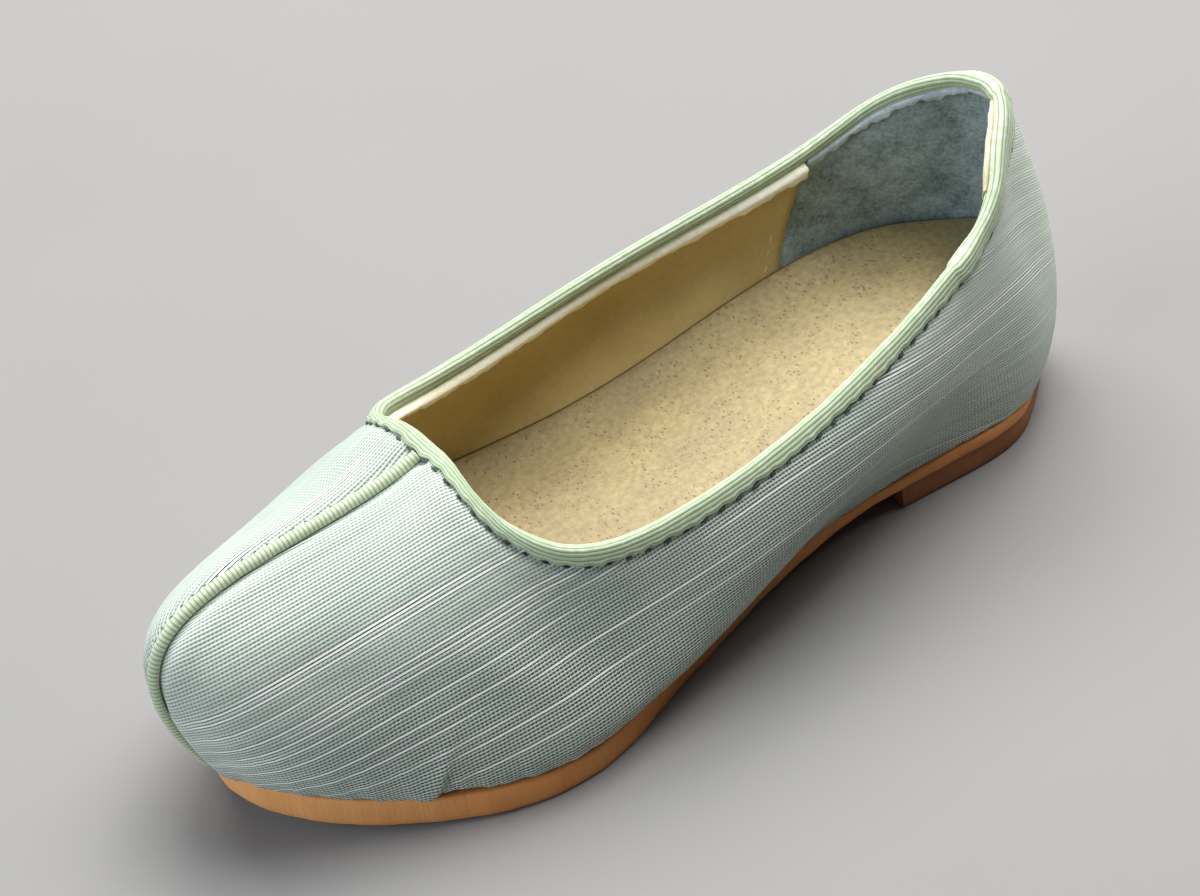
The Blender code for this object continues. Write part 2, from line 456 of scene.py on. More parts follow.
    def tape_depth(self, u: Array) -> Array:
        """Depth of the binding's outer lower edge, more at the heel's sides, less round the throat.

        Args:
            u: stations, 0 at the back seam and 1 at the centre front.

        Returns:
            Depth at each station.
        """
        heel = self.tape_heel * bell((u - self.tape_heel_at) / self.tape_heel_half)
        throat = smooth_step((u - self.throat_start) / self.throat_run)
        return self.tape_back + heel + (self.tape_throat - self.tape_back) * throat

    @staticmethod
    def loop(count: int) -> tuple[Array, Array]:
        """Stations round the shoe: back seam, wearer's left side, toe, right side."""
        w = 2.0 * np.arange(count) / count
        return np.where(w <= 1.0, w, 2.0 - w), np.where(w <= 1.0, 1.0, -1.0)


def grid_cells(rows: int, cols: int) -> Array:
    """Row and column of the four corners of each cell of a grid of rows by cols cells."""
    r, c = (a.ravel() for a in np.meshgrid(np.arange(rows), np.arange(cols), indexing="ij"))
    return np.stack([np.stack([r + i, c + j], -1) for i, j in ((0, 0), (0, 1), (1, 1), (1, 0))], 1)


def shell_grid(rows: int, cols: int, wrap: bool) -> tuple[Array, Array]:
    """Faces of a thick sheet: its front, its back and the edges between them.

    Args:
        rows: points across the sheet.
        cols: points along the sheet.
        wrap: the last column joins the first.

    Returns:
        Corners of each face as point numbers, and as row and column of the sheet.
    """
    steps = cols if wrap else cols - 1
    front = grid_cells(rows - 1, steps)
    layers = [np.zeros(front.shape[:2], int), np.ones(front.shape[:2], int)]
    cells = [front, front[:, ::-1]]
    rims = [np.array([[(row, i), (row, i), (row, i + 1), (row, i + 1)] for i in range(steps)])
            for row in (0, rows - 1)]
    if not wrap:
        rims += [np.array([[(i, col), (i, col), (i + 1, col), (i + 1, col)]
                           for i in range(rows - 1)]) for col in (0, cols - 1)]
    for rim in rims:
        cells.append(rim)
        layers.append(np.tile((0, 1, 1, 0), (len(rim), 1)))
    cells, layers = np.concatenate(cells), np.concatenate(layers)
    return layers * rows * cols + cells[..., 0] * cols + cells[..., 1] % cols, cells


def stacked_faces(rings: int, count: int) -> list[list[int]]:
    """Faces of a solid of stacked rings with a ladder of rungs across each end.

    Args:
        rings: number of rings.
        count: points in a ring.

    Returns:
        Corners of each face.
    """
    cells = grid_cells(rings - 1, count)
    faces = (cells[..., 0] * count + cells[..., 1] % count).tolist()
    for first in (0, (rings - 1) * count):
        for i in range(count // 2):
            corners = (i, i + 1, count - i - 1, (count - i) % count)
            faces.append([first + c for c in dict.fromkeys(corners)])
    return faces


def add_mesh(name: str, finish: "Finish", points: Array, faces: list | Array,
             corners: Array | None = None) -> Object:
    """Make a closed mesh from points in millimetres.

    Args:
        name: name of the piece.
        finish: its finish.
        points: places of the points.
        faces: corners of each face.
        corners: place of each face corner on the piece's own map, in millimetres.

    Returns:
        The new object, smooth and with its faces outwards.
    """
    mesh = bpy.data.meshes.new(name)
    places = (points.reshape(-1, 3) - ORIGIN) * MM
    mesh.from_pydata(places.tolist(), [], [tuple(int(i) for i in face) for face in faces])
    if corners is not None:
        mesh.uv_layers.new(name=LAY).data.foreach_set("uv", corners.reshape(-1).astype(np.float32))
    work = bmesh.new()
    work.from_mesh(mesh)
    bmesh.ops.remove_doubles(work, verts=work.verts, dist=1e-7)
    bmesh.ops.recalc_face_normals(work, faces=work.faces)
    work.to_mesh(mesh)
    work.free()
    mesh.shade_smooth()
    mesh.materials.append(finish.material())
    piece = bpy.data.objects.new(name, mesh)
    bpy.context.scene.collection.objects.link(piece)
    return piece


def add_path(name: str, points: Array, out: Array) -> Object:
    """Make a line of edges that carries the way out of the surface it lies on.

    Args:
        name: name of the piece it will become.
        points: places along the line, in millimetres.
        out: unit way out at each place.

    Returns:
        The new object.
    """
    mesh = bpy.data.meshes.new(name)
    edges = [(i, i + 1) for i in range(len(points) - 1)]
    mesh.from_pydata(((points - ORIGIN) * MM).tolist(), edges, [])
    mesh.attributes.new(OUT, "FLOAT_VECTOR", "POINT").data.foreach_set("vector", out.ravel())
    piece = bpy.data.objects.new(name, mesh)
    bpy.context.scene.collection.objects.link(piece)
    return piece


def settle(piece: Object, slot: Slot, *nodes: str) -> Object:
    """Tie a piece to the body and hide the nodes it stands for.

    Args:
        piece: piece to work on.
        slot: its material slot; not used.
        nodes: solids that it stands for, if any.

    Returns:
        The same piece.
    """
    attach(piece, BODY)
    if nodes:
        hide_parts(*nodes)
    logging.info("%s: %d faces", piece.name, len(piece.data.polygons))
    return piece


class NodeShape:
    """Geometry tree with named sizes, run on a path and turned into a plain mesh."""

    def __init__(self, name: str, sizes: dict[str, float]) -> None:
        """Start a tree that takes geometry and the named sizes, in metres or plain numbers.

        Args:
            name: name of the tree.
            sizes: each size by its name.
        """
        self.tree = bpy.data.node_groups.new(name, "GeometryNodeTree")
        self.sizes = sizes
        face = self.tree.interface
        face.new_socket("Path", in_out="INPUT", socket_type="NodeSocketGeometry")
        self.keys = {key: face.new_socket(key, in_out="INPUT",
                                          socket_type="NodeSocketFloat").identifier for key in sizes}
        face.new_socket("Piece", in_out="OUTPUT", socket_type="NodeSocketGeometry")
        self.inlet = add_node(self.tree, "NodeGroupInput")

    def node(self, kind: str, feeds: Feeds | None = None, **settings: object) -> Node:
        """Add a node to this tree."""
        return add_node(self.tree, kind, feeds, **settings)

    def size(self, key: str) -> Socket:
        """Socket of a named size."""
        return self.inlet.outputs[key]

    def finish(self, shape: Node, material: Material) -> None:
        """Close the tree with smooth shading, real instances and a material.

        Args:
            shape: node that ends the shape.
            material: material to give it.
        """
        real = self.node("GeometryNodeRealizeInstances", {0: shape})
        smooth = self.node("GeometryNodeSetShadeSmooth", {"Geometry": real})
        dressed = self.node("GeometryNodeSetMaterial", {"Geometry": smooth, "Material": material})
        self.node("NodeGroupOutput", {0: dressed})

    def run(self, piece: Object) -> None:
        """Run the tree on a piece and keep its result as a plain mesh.

        Args:
            piece: piece to work on.
        """
        modifier = piece.modifiers.new(self.tree.name, "NODES")
        modifier.node_group = self.tree
        for key, value in self.sizes.items():
            modifier[self.keys[key]] = value
        bpy.context.view_layer.update()
        solid = piece.evaluated_get(bpy.context.evaluated_depsgraph_get())
        made = bpy.data.meshes.new_from_object(solid)
        made.name = piece.name
        piece.modifiers.remove(modifier)
        path, piece.data = piece.data, made
        bpy.data.meshes.remove(path)


@dataclass(frozen=True)
class Finish:
    """Base of the finishes: one dielectric surface with its own colour and relief."""

    name: str
    roughness: float = 0.7
    ior: float = 1.5
    sheen: float = 0.0
    sheen_roughness: float = 0.45
    relief: float = 0.0001

    def material(self) -> Material:
        """Make the material, or give the one already made.

        Returns:
            The material.
        """
        made = bpy.data.materials.get(self.name)
        if made is None:
            made = bpy.data.materials.new(self.name)
            made.use_nodes = True
            tree = made.node_tree
            colour, height = self.pattern(tree)
            bump = add_node(tree, "ShaderNodeBump",
                            {"Height": height, "Strength": 1.0, "Distance": self.relief})
            feed(tree, tree.nodes["Principled BSDF"], {
                "Roughness": self.roughness, "IOR": self.ior, "Sheen Weight": self.sheen,
                "Sheen Roughness": self.sheen_roughness, "Base Color": colour, "Normal": bump})
        return made

    def pattern(self, tree: Tree) -> Looks:
        """Sources of the colour and of the height; each finish has its own."""
        raise NotImplementedError


@dataclass(frozen=True)
class Strand:
    """Bright slub, listed one by one: its place across the threads and its two ends along them."""

    across: float
    start: float
    end: float


@dataclass(frozen=True)
class SlubCloth(Finish):
    """Plain-woven poly-silk with slubs: pale ribs, dark dotted gaps, a few bright thick threads, painted
    shadow beside the slubs and painted shade deeper in the gaps low on the side.
    """

    rib_pitch: float = 0.60
    bead_pitch: float = 0.66
    waver: float = 0.35
    waver_size: float = 30.0
    slub_length: float = 40.0
    slub_share: float = 0.84
    strands: tuple[Strand, ...] = (
        Strand(36.6, 275.0, 335.0), Strand(34.9, 284.0, 350.0), Strand(30.9, 245.0, 322.0),
        Strand(45.6, 158.0, 216.0), Strand(38.9, 158.0, 230.0), Strand(36.5, 162.0, 222.0),
        Strand(32.3, 160.0, 226.0), Strand(28.2, 162.0, 222.0), Strand(20.4, 196.0, 236.0),
        Strand(16.2, 196.0, 224.0), Strand(41.6, 158.0, 186.0), Strand(34.3, 156.0, 190.0),
    )
    strand_fade: float = 8.0
    calm_start: float = 272.0
    calm_end: float = 322.0
    calm: float = 0.42
    low_across: float = 20.0
    high_across: float = 42.0
    # Painted shade: how much darker the gaps are drawn low on the side, and how much fainter up on the vamp.
    low_shade_gain: float = 1.4
    high_shade_gain: float = 0.68
    thread: str = "#d3dfcf"
    gap: str = "#35423a"
    slub: str = "#fcfff8"
    tint: str = "#bfcdbf"
    tint_size: float = 22.0

    def pattern(self, tree: Tree) -> Looks:
        """Count the ribs across the map, dot their gaps and pick out the slubs.

        Args:
            tree: shader tree of the material.

        Returns:
            Sources of the colour and of the height.
        """
        node = partial(add_node, tree)
        lay = node("ShaderNodeUVMap", uv_map=LAY)
        drift = node("ShaderNodeTexNoise", {"Vector": lay, "Scale": 1.0 / self.waver_size, "Detail": 2.0})
        along, across = node("ShaderNodeSeparateXYZ", {0: lay}).outputs[:2]
        wave = node("ShaderNodeMath", {0: drift, 1: self.waver, 2: across}, operation="MULTIPLY_ADD")
        count = node("ShaderNodeMath", {0: wave, 1: 1.0 / self.rib_pitch}, operation="MULTIPLY")
        index = node("ShaderNodeMath", {0: count}, operation="FLOOR")
        rib = node("ShaderNodeMath", {0: count}, operation="FRACT")
        rib = node("ShaderNodeMath", {0: rib, 1: math.pi}, operation="MULTIPLY")
        rib = node("ShaderNodeMath", {0: rib}, operation="SINE")
        # Warp threads cross each gap at a bead spacing, never quite in step with the next gap.
        shift = node("ShaderNodeTexWhiteNoise", {"W": index}, noise_dimensions="1D")
        bead = node("ShaderNodeMath", {0: along, 1: 1.0 / self.bead_pitch}, operation="MULTIPLY")
        bead = node("ShaderNodeMath", {0: shift, 1: 0.3, 2: bead}, operation="MULTIPLY_ADD")
        bead = node("ShaderNodeMath", {0: bead, 1: 0.5}, operation="PINGPONG")
        # One random draw for each thread, and a slow swell along it.
        draw = node("ShaderNodeTexWhiteNoise", {"W": index}, noise_dimensions="1D")
        place = node("ShaderNodeCombineXYZ", {0: along, 1: index})
        stretch = node("ShaderNodeVectorMath",
                       {0: place, 1: (1.0 / self.slub_length, 3.7, 1.0)}, operation="MULTIPLY")
        swell = node("ShaderNodeTexNoise", {"Vector": stretch, "Scale": 1.0, "Detail": 1.0},
                     noise_dimensions="2D")
        chosen = node("ShaderNodeMapRange", {0: draw, 1: self.slub_share, 2: self.slub_share + 0.06})
        thick = node("ShaderNodeMapRange", {0: swell, 1: 0.38, 2: 0.52})
        slub = node("ShaderNodeMath", {0: chosen, 1: thick}, operation="MULTIPLY")
        # The cloth is drawn tight over the heel, so the weave shows less there.
        calm = node("ShaderNodeMapRange",
                    {0: along, 1: self.calm_start, 2: self.calm_end, 3: 1.0, 4: self.calm})
        slub = node("ShaderNodeMath", {0: slub, 1: calm}, operation="MULTIPLY")
        for strand in self.strands:
            half = 0.5 * (strand.end - strand.start)
            own = node("ShaderNodeMath",
                       {0: index, 1: math.floor(strand.across / self.rib_pitch), 2: 0.5},
                       operation="COMPARE")
            away = node("ShaderNodeMath", {0: along, 1: strand.start + half}, operation="SUBTRACT")
            away = node("ShaderNodeMath", {0: away}, operation="ABSOLUTE")
            runs = node("ShaderNodeMapRange", {0: away, 1: half, 2: half - self.strand_fade})
            line = node("ShaderNodeMath", {0: own, 1: runs}, operation="MULTIPLY")
            slub = node("ShaderNodeMath", {0: slub, 1: line}, operation="MAXIMUM")
        body = node("ShaderNodeMapRange", {0: rib, 1: 0.36, 2: 0.72})
        bold = node("ShaderNodeMath", {0: slub, 1: body}, operation="MULTIPLY")
        # Gaps: dark where the rib is low and darkest between the warp beads.
        low = node("ShaderNodeMapRange", {0: rib, 1: 0.92, 2: 0.35})
        thin = node("ShaderNodeMapRange", {0: rib, 1: 0.62, 2: 0.26})
        low = node("ShaderNodeMix", {0: slub, 2: low, 3: thin}, data_type="FLOAT")
        dot = node("ShaderNodeMapRange", {0: bead, 1: 0.1, 2: 0.36, 3: 0.4, 4: 1.0})
        # Painted shade: the gaps are drawn darker low on the side, where grazing light shades the ribs, and
        # fainter higher up over the vamp.
        side_shade_gain = node("ShaderNodeMapRange", {0: across, 1: self.low_across, 2: self.high_across,
                                           3: self.low_shade_gain, 4: self.high_shade_gain})
        dot = node("ShaderNodeMath", {0: dot, 1: calm}, operation="MULTIPLY")
        dot = node("ShaderNodeMath", {0: dot, 1: side_shade_gain}, operation="MULTIPLY")
        # A slub stands proud; the gap beside it is drawn as one unbroken dark line, its painted shadow.
        slub_shadow_and_beads = node("ShaderNodeMath", {0: dot, 1: slub}, operation="MAXIMUM")
        dark = node("ShaderNodeMath", {0: low, 1: slub_shadow_and_beads}, operation="MULTIPLY")
        patch = node("ShaderNodeTexNoise", {"Vector": lay, "Scale": 1.0 / self.tint_size, "Detail": 3.0})
        tone = node("ShaderNodeMapRange", {0: patch, 1: 0.35, 2: 0.7})
        base = node("ShaderNodeMix", {0: tone, 6: self.thread, 7: self.tint}, data_type="RGBA")
        shade = node("ShaderNodeMapRange", {0: swell, 1: 0.3, 2: 0.7, 3: 0.88, 4: 1.06})
        base = node("ShaderNodeMix", {0: 1.0, 6: base, 7: shade}, data_type="RGBA", blend_type="MULTIPLY")
        woven = node("ShaderNodeMix", {0: dark, 6: base, 7: self.gap}, data_type="RGBA")
        colour = node("ShaderNodeMix", {0: bold, 6: woven, 7: self.slub},
                      data_type="RGBA", clamp_factor=True)
        height = node("ShaderNodeMath", {0: dark, 1: -1.0, 2: bold}, operation="MULTIPLY_ADD")
        return colour, height


@dataclass(frozen=True)
class RibbedTape(Finish):
    """Grosgrain tape folded over the edge: cords along it, fine wefts across, light fuzz and a painted
    highlight along the fold.
    """

    rib_pitch: float = 0.78
    weft_pitch: float = 0.42
    crest: str = "#b3c4a1"
    valley: str = "#7b9069"
    # Paler colour of the random fuzz, and of the painted highlight along the fold.
    fuzz_and_highlight: str = "#d3dec4"
    fuzz_size: float = 1.6
    highlight_place: float = 4.5
    highlight_half: float = 1.3

    def pattern(self, tree: Tree) -> Looks:
        """Darken the valleys between the cords, scatter paler wefts and paint a highlight along the fold.

        Args:
            tree: shader tree of the material.

        Returns:
            Sources of the colour and of the height.
        """
        node = partial(add_node, tree)
        lay = node("ShaderNodeUVMap", uv_map=LAY)
        along, across = node("ShaderNodeSeparateXYZ", {0: lay}).outputs[:2]
        rib = node("ShaderNodeMath", {0: across, 1: math.pi / self.rib_pitch}, operation="MULTIPLY")
        rib = node("ShaderNodeMath", {0: rib}, operation="SINE")
        rib = node("ShaderNodeMath", {0: rib}, operation="ABSOLUTE")
        weft = node("ShaderNodeMath", {0: along, 1: math.pi / self.weft_pitch}, operation="MULTIPLY")
        weft = node("ShaderNodeMath", {0: weft}, operation="SINE")
        weft = node("ShaderNodeMath", {0: weft}, operation="ABSOLUTE")
        fuzz = node("ShaderNodeTexNoise", {"Vector": lay, "Scale": 1.0 / self.fuzz_size, "Detail": 4.0})
        crest = node("ShaderNodeMapRange", {0: rib, 1: 0.12, 2: 0.62})
        # Painted highlight: the cords at the fold's crest are drawn palest, where light falls on the tape's
        # top; random fuzz pales other crests.
        away = node("ShaderNodeMath", {0: across, 1: self.highlight_place}, operation="SUBTRACT")
        away = node("ShaderNodeMath", {0: away}, operation="ABSOLUTE")
        painted_light_mask = node("ShaderNodeMapRange", {0: away, 1: self.highlight_half, 2: 0.2, 3: 0.0, 4: 0.16})
        fuzz_with_highlight = node("ShaderNodeMath", {0: fuzz, 1: painted_light_mask}, operation="ADD")
        fuzz_and_highlight = node("ShaderNodeMapRange", {0: fuzz_with_highlight, 1: 0.5, 2: 0.9})
        fuzz_and_highlight = node("ShaderNodeMath", {0: fuzz_and_highlight, 1: crest}, operation="MULTIPLY")
        base = node("ShaderNodeMix", {0: crest, 6: self.valley, 7: self.crest}, data_type="RGBA")
        colour = node("ShaderNodeMix", {0: fuzz_and_highlight, 6: base, 7: self.fuzz_and_highlight}, data_type="RGBA")
        height = node("ShaderNodeMath", {0: weft, 1: 0.5, 2: fuzz}, operation="MULTIPLY_ADD")
        return colour, height


@dataclass(frozen=True)
class CordCover(Finish):
    """Ribbed tape wrapped round a cord: pale crests across it and green shade between them."""

    rib_pitch: float = 0.74
    crest: str = "#c3cfae"
    valley: str = "#859474"
    fuzz_size: float = 0.9

    def pattern(self, tree: Tree) -> Looks:
        """Shade the valleys from the distance along the cord.

        Args:
            tree: shader tree of the material.

        Returns:
            Sources of the colour and of the height.
        """
        node = partial(add_node, tree)
        along = node("ShaderNodeAttribute", attribute_name=ALONG).outputs["Fac"]
        place = node("ShaderNodeTexCoord").outputs["Object"]
        turn = node("ShaderNodeMath", {0: along, 1: math.pi / (self.rib_pitch * MM)}, operation="MULTIPLY")
        turn = node("ShaderNodeMath", {0: turn}, operation="SINE")
        turn = node("ShaderNodeMath", {0: turn}, operation="ABSOLUTE")
        fuzz = node("ShaderNodeTexNoise", {"Vector": place, "Scale": per(self.fuzz_size), "Detail": 3.0})
        crest = node("ShaderNodeMapRange", {0: turn, 1: 0.15, 2: 0.75})
        colour = node("ShaderNodeMix", {0: crest, 6: self.valley, 7: self.crest}, data_type="RGBA")
        return colour, fuzz


@dataclass(frozen=True)
class PigGrain(Finish):
    """Vegetable-dressed pigskin: tan grain mottled fine, with soft stains and faint clusters of pores."""

    pore_size: float = 0.75
    pore_stretch: float = 0.6
    pore_share: float = 0.48
    stain_size: float = 13.0
    grain_size: float = 0.35
    mottle_size: float = 1.1
    mottle: float = 0.24
    base: str = "#a39263"
    stain: str = "#95845c"
    pore: str = "#6b5a38"

    def pattern(self, tree: Tree) -> Looks:
        """Spread stains, then set pores in clusters.

        Args:
            tree: shader tree of the material.

        Returns:
            Sources of the colour and of the height.
        """
        node = partial(add_node, tree)
        place = node("ShaderNodeTexCoord").outputs["Object"]
        cell = per(self.pore_size)
        long = cell * self.pore_stretch
        scaled = node("ShaderNodeMapping", {"Vector": place, "Scale": (cell, long, long)})
        cells = node("ShaderNodeTexVoronoi", {"Vector": scaled, "Scale": 1.0})
        stain = node("ShaderNodeTexNoise", {"Vector": place, "Scale": per(self.stain_size), "Detail": 4.0})
        group = node("ShaderNodeTexNoise",
                     {"Vector": place, "Scale": per(0.35 * self.stain_size), "Detail": 2.0})
        fine = node("ShaderNodeTexNoise", {"Vector": place, "Scale": per(self.grain_size), "Detail": 3.0})
        speck = node("ShaderNodeTexNoise", {"Vector": place, "Scale": per(self.mottle_size),
                                            "Detail": 5.0, "Roughness": 0.65})
        speck = node("ShaderNodeMapRange", {0: speck, 1: 0.3, 2: 0.7,
                                            3: 1.0 - self.mottle, 4: 1.0 + self.mottle})
        dash = node("ShaderNodeMapRange", {0: cells.outputs["Distance"], 1: 0.34, 2: 0.1})
        shows = node("ShaderNodeMapRange", {0: group, 1: self.pore_share - 0.06, 2: self.pore_share + 0.08})
        pore = node("ShaderNodeMath", {0: dash, 1: shows}, operation="MULTIPLY")
        blot = node("ShaderNodeMapRange", {0: stain, 1: 0.36, 2: 0.68})
        base = node("ShaderNodeMix", {0: blot, 6: self.base, 7: self.stain}, data_type="RGBA")
        base = node("ShaderNodeMix", {0: 1.0, 6: base, 7: speck}, data_type="RGBA", blend_type="MULTIPLY")
        colour = node("ShaderNodeMix", {0: pore, 6: base, 7: self.pore}, data_type="RGBA")
        height = node("ShaderNodeMath", {0: pore, 1: -0.4, 2: fine}, operation="MULTIPLY_ADD")
        return colour, height


@dataclass(frozen=True)
class SockGrain(PigGrain):
    """Pigskin sock: the same grain, and painted shade as a dark line where its cut edge stands off the
    lining.
    """

    # Painted shade: the dark line stands for the shadow in the gap between the sock's edge and the lining.
    line: str = "#43361f"
    shade_line_place: float = 0.95
    shade_line_half: float = 0.5

    def pattern(self, tree: Tree) -> Looks:
        """Draw the painted shade line at its distance from the edge.

        Args:
            tree: shader tree of the material.

        Returns:
            Sources of the colour and of the height.
        """
        node = partial(add_node, tree)
        colour, height = super().pattern(tree)
        border = node("ShaderNodeSeparateXYZ", {0: node("ShaderNodeUVMap", uv_map=LAY)}).outputs["Y"]
        # Painted shade along the sock's edge, where it meets the lining.
        away = node("ShaderNodeMath", {0: border, 1: self.shade_line_place}, operation="SUBTRACT")
        away = node("ShaderNodeMath", {0: away}, operation="ABSOLUTE")
        dark = node("ShaderNodeMapRange", {0: away, 1: self.shade_line_half, 2: 0.1, 3: 0.0, 4: 0.85})
        shade_lined = node("ShaderNodeMix", {0: dark, 6: colour, 7: self.line}, data_type="RGBA")
        return shade_lined, height


@dataclass(frozen=True)
class Nubuck(Finish):
    """Blue-grey buffed split leather: a soft nap with cloudy lighter and darker patches."""

    cloud_size: float = 4.5
    # The real nap is near 0.1 mm; it is drawn coarser so that it shows.
    nap_size: float = 0.6
    dark: str = "#5a6761"
    light: str = "#aec1c5"

    def pattern(self, tree: Tree) -> Looks:
        """Mix the clouds and the nap.

        Args:
            tree: shader tree of the material.

        Returns:
            Sources of the colour and of the height.
        """
        node = partial(add_node, tree)
        place = node("ShaderNodeTexCoord").outputs["Object"]
        cloud = node("ShaderNodeTexNoise",
                     {"Vector": place, "Scale": per(self.cloud_size), "Detail": 6.0, "Roughness": 0.65})
        nap = node("ShaderNodeTexNoise", {"Vector": place, "Scale": per(self.nap_size), "Detail": 3.0})
        both = node("ShaderNodeMath", {0: nap, 1: 0.6, 2: cloud}, operation="MULTIPLY_ADD")
        share = node("ShaderNodeMapRange", {0: both, 1: 0.55, 2: 1.1})
        colour = node("ShaderNodeMix", {0: share, 6: self.dark, 7: self.light}, data_type="RGBA")
        return colour, both


@dataclass(frozen=True)
class CutLeather(Finish):
    """Oak-bark sole leather cut and sanded: warm tan with fine upright fibre marks on its edge, and painted
    shade behind the toe.
    """

    fibre_size: float = 0.5
    fibre_height: float = 6.0
    blot_size: float = 12.0
    # Painted shade: the leather is darkened behind the toe, fading out between these two places along the
    # shoe.
    shade_from: float = 50.0
    shade_to: float = 70.0
    base: str = "#eba767"
    dark: str = "#da9650"
    shade_tint: str = "#edddc4"

    def pattern(self, tree: Tree) -> Looks:
        """Draw fibres upright and blots all over, then paint shade behind the toe.

        Args:
            tree: shader tree of the material.

        Returns:
            Sources of the colour and of the height.
        """
        node = partial(add_node, tree)
        place = node("ShaderNodeTexCoord").outputs["Object"]
        fine, tall = per(self.fibre_size), per(self.fibre_height)
        scaled = node("ShaderNodeMapping", {"Vector": place, "Scale": (fine, fine, tall)})
        fibre = node("ShaderNodeTexNoise", {"Vector": scaled, "Scale": 1.0, "Detail": 3.0})
        blot = node("ShaderNodeTexNoise", {"Vector": place, "Scale": per(self.blot_size), "Detail": 5.0})
        both = node("ShaderNodeMath", {0: fibre, 1: 0.5, 2: blot}, operation="MULTIPLY_ADD")
        share = node("ShaderNodeMapRange", {0: both, 1: 0.55, 2: 1.0})
        colour = node("ShaderNodeMix", {0: share, 6: self.base, 7: self.dark}, data_type="RGBA")
        # Painted shade: behind the toe the edge is multiplied darker and redder, as it lies in shade there;
        # the toe keeps its plain colour.
        along = node("ShaderNodeSeparateXYZ", {0: place}).outputs["X"]
        painted_light_mask = node("ShaderNodeMapRange", {0: along, 1: self.shade_from * MM,
                                             2: self.shade_to * MM, 3: 1.0, 4: 0.0})
        colour = node("ShaderNodeMix", {0: painted_light_mask, 6: colour,
                                        7: self.shade_tint},
                      data_type="RGBA", blend_type="MULTIPLY")
        return colour, fibre


@dataclass(frozen=True)
class SpunThread(Finish):
    """Polyester sewing thread: twisted, slightly shiny, with lighter and darker turns."""

    twist: float = 0.3
    base: str = "#23282a"
    light: str = "#4a5148"

    def pattern(self, tree: Tree) -> Looks:
        """Vary the turns of the thread.

        Args:
            tree: shader tree of the material.

        Returns:
            Sources of the colour and of the height.
        """
        node = partial(add_node, tree)
        place = node("ShaderNodeTexCoord").outputs["Object"]
        turns = node("ShaderNodeTexNoise", {"Vector": place, "Scale": per(self.twist), "Detail": 2.0})
        share = node("ShaderNodeMapRange", {0: turns, 1: 0.35, 2: 0.7})
        colour = node("ShaderNodeMix", {0: share, 6: self.base, 7: self.light}, data_type="RGBA")
        return colour, turns


@dataclass(frozen=True)
class PaperFloor(Finish):
    """Pale seamless paper: matt, with the faintest cloudiness."""

    cloud_size: float = 90.0
    base: str = "#8f8d8b"
    dark: str = "#8a8886"

    def pattern(self, tree: Tree) -> Looks:
        """Cloud the paper softly.

        Args:
            tree: shader tree of the material.

        Returns:
            Sources of the colour and of the height.
        """
        node = partial(add_node, tree)
        place = node("ShaderNodeTexCoord").outputs["Object"]
        cloud = node("ShaderNodeTexNoise", {"Vector": place, "Scale": per(self.cloud_size), "Detail": 3.0})
        colour = node("ShaderNodeMix", {0: cloud, 6: self.base, 7: self.dark}, data_type="RGBA")
        return colour, cloud


@dataclass(frozen=True)
class Fold:
    """One soft trough or ridge laid on the cloth."""

    side: Side
    x: float
    up: float
    run: float
    width: float
    rise: float
    turn: float


@dataclass(frozen=True)
class FeatherMark:
    """Place where the cloth's lower edge lifts off the sole or hangs over it."""

    x: float
    width: float
    lift: float


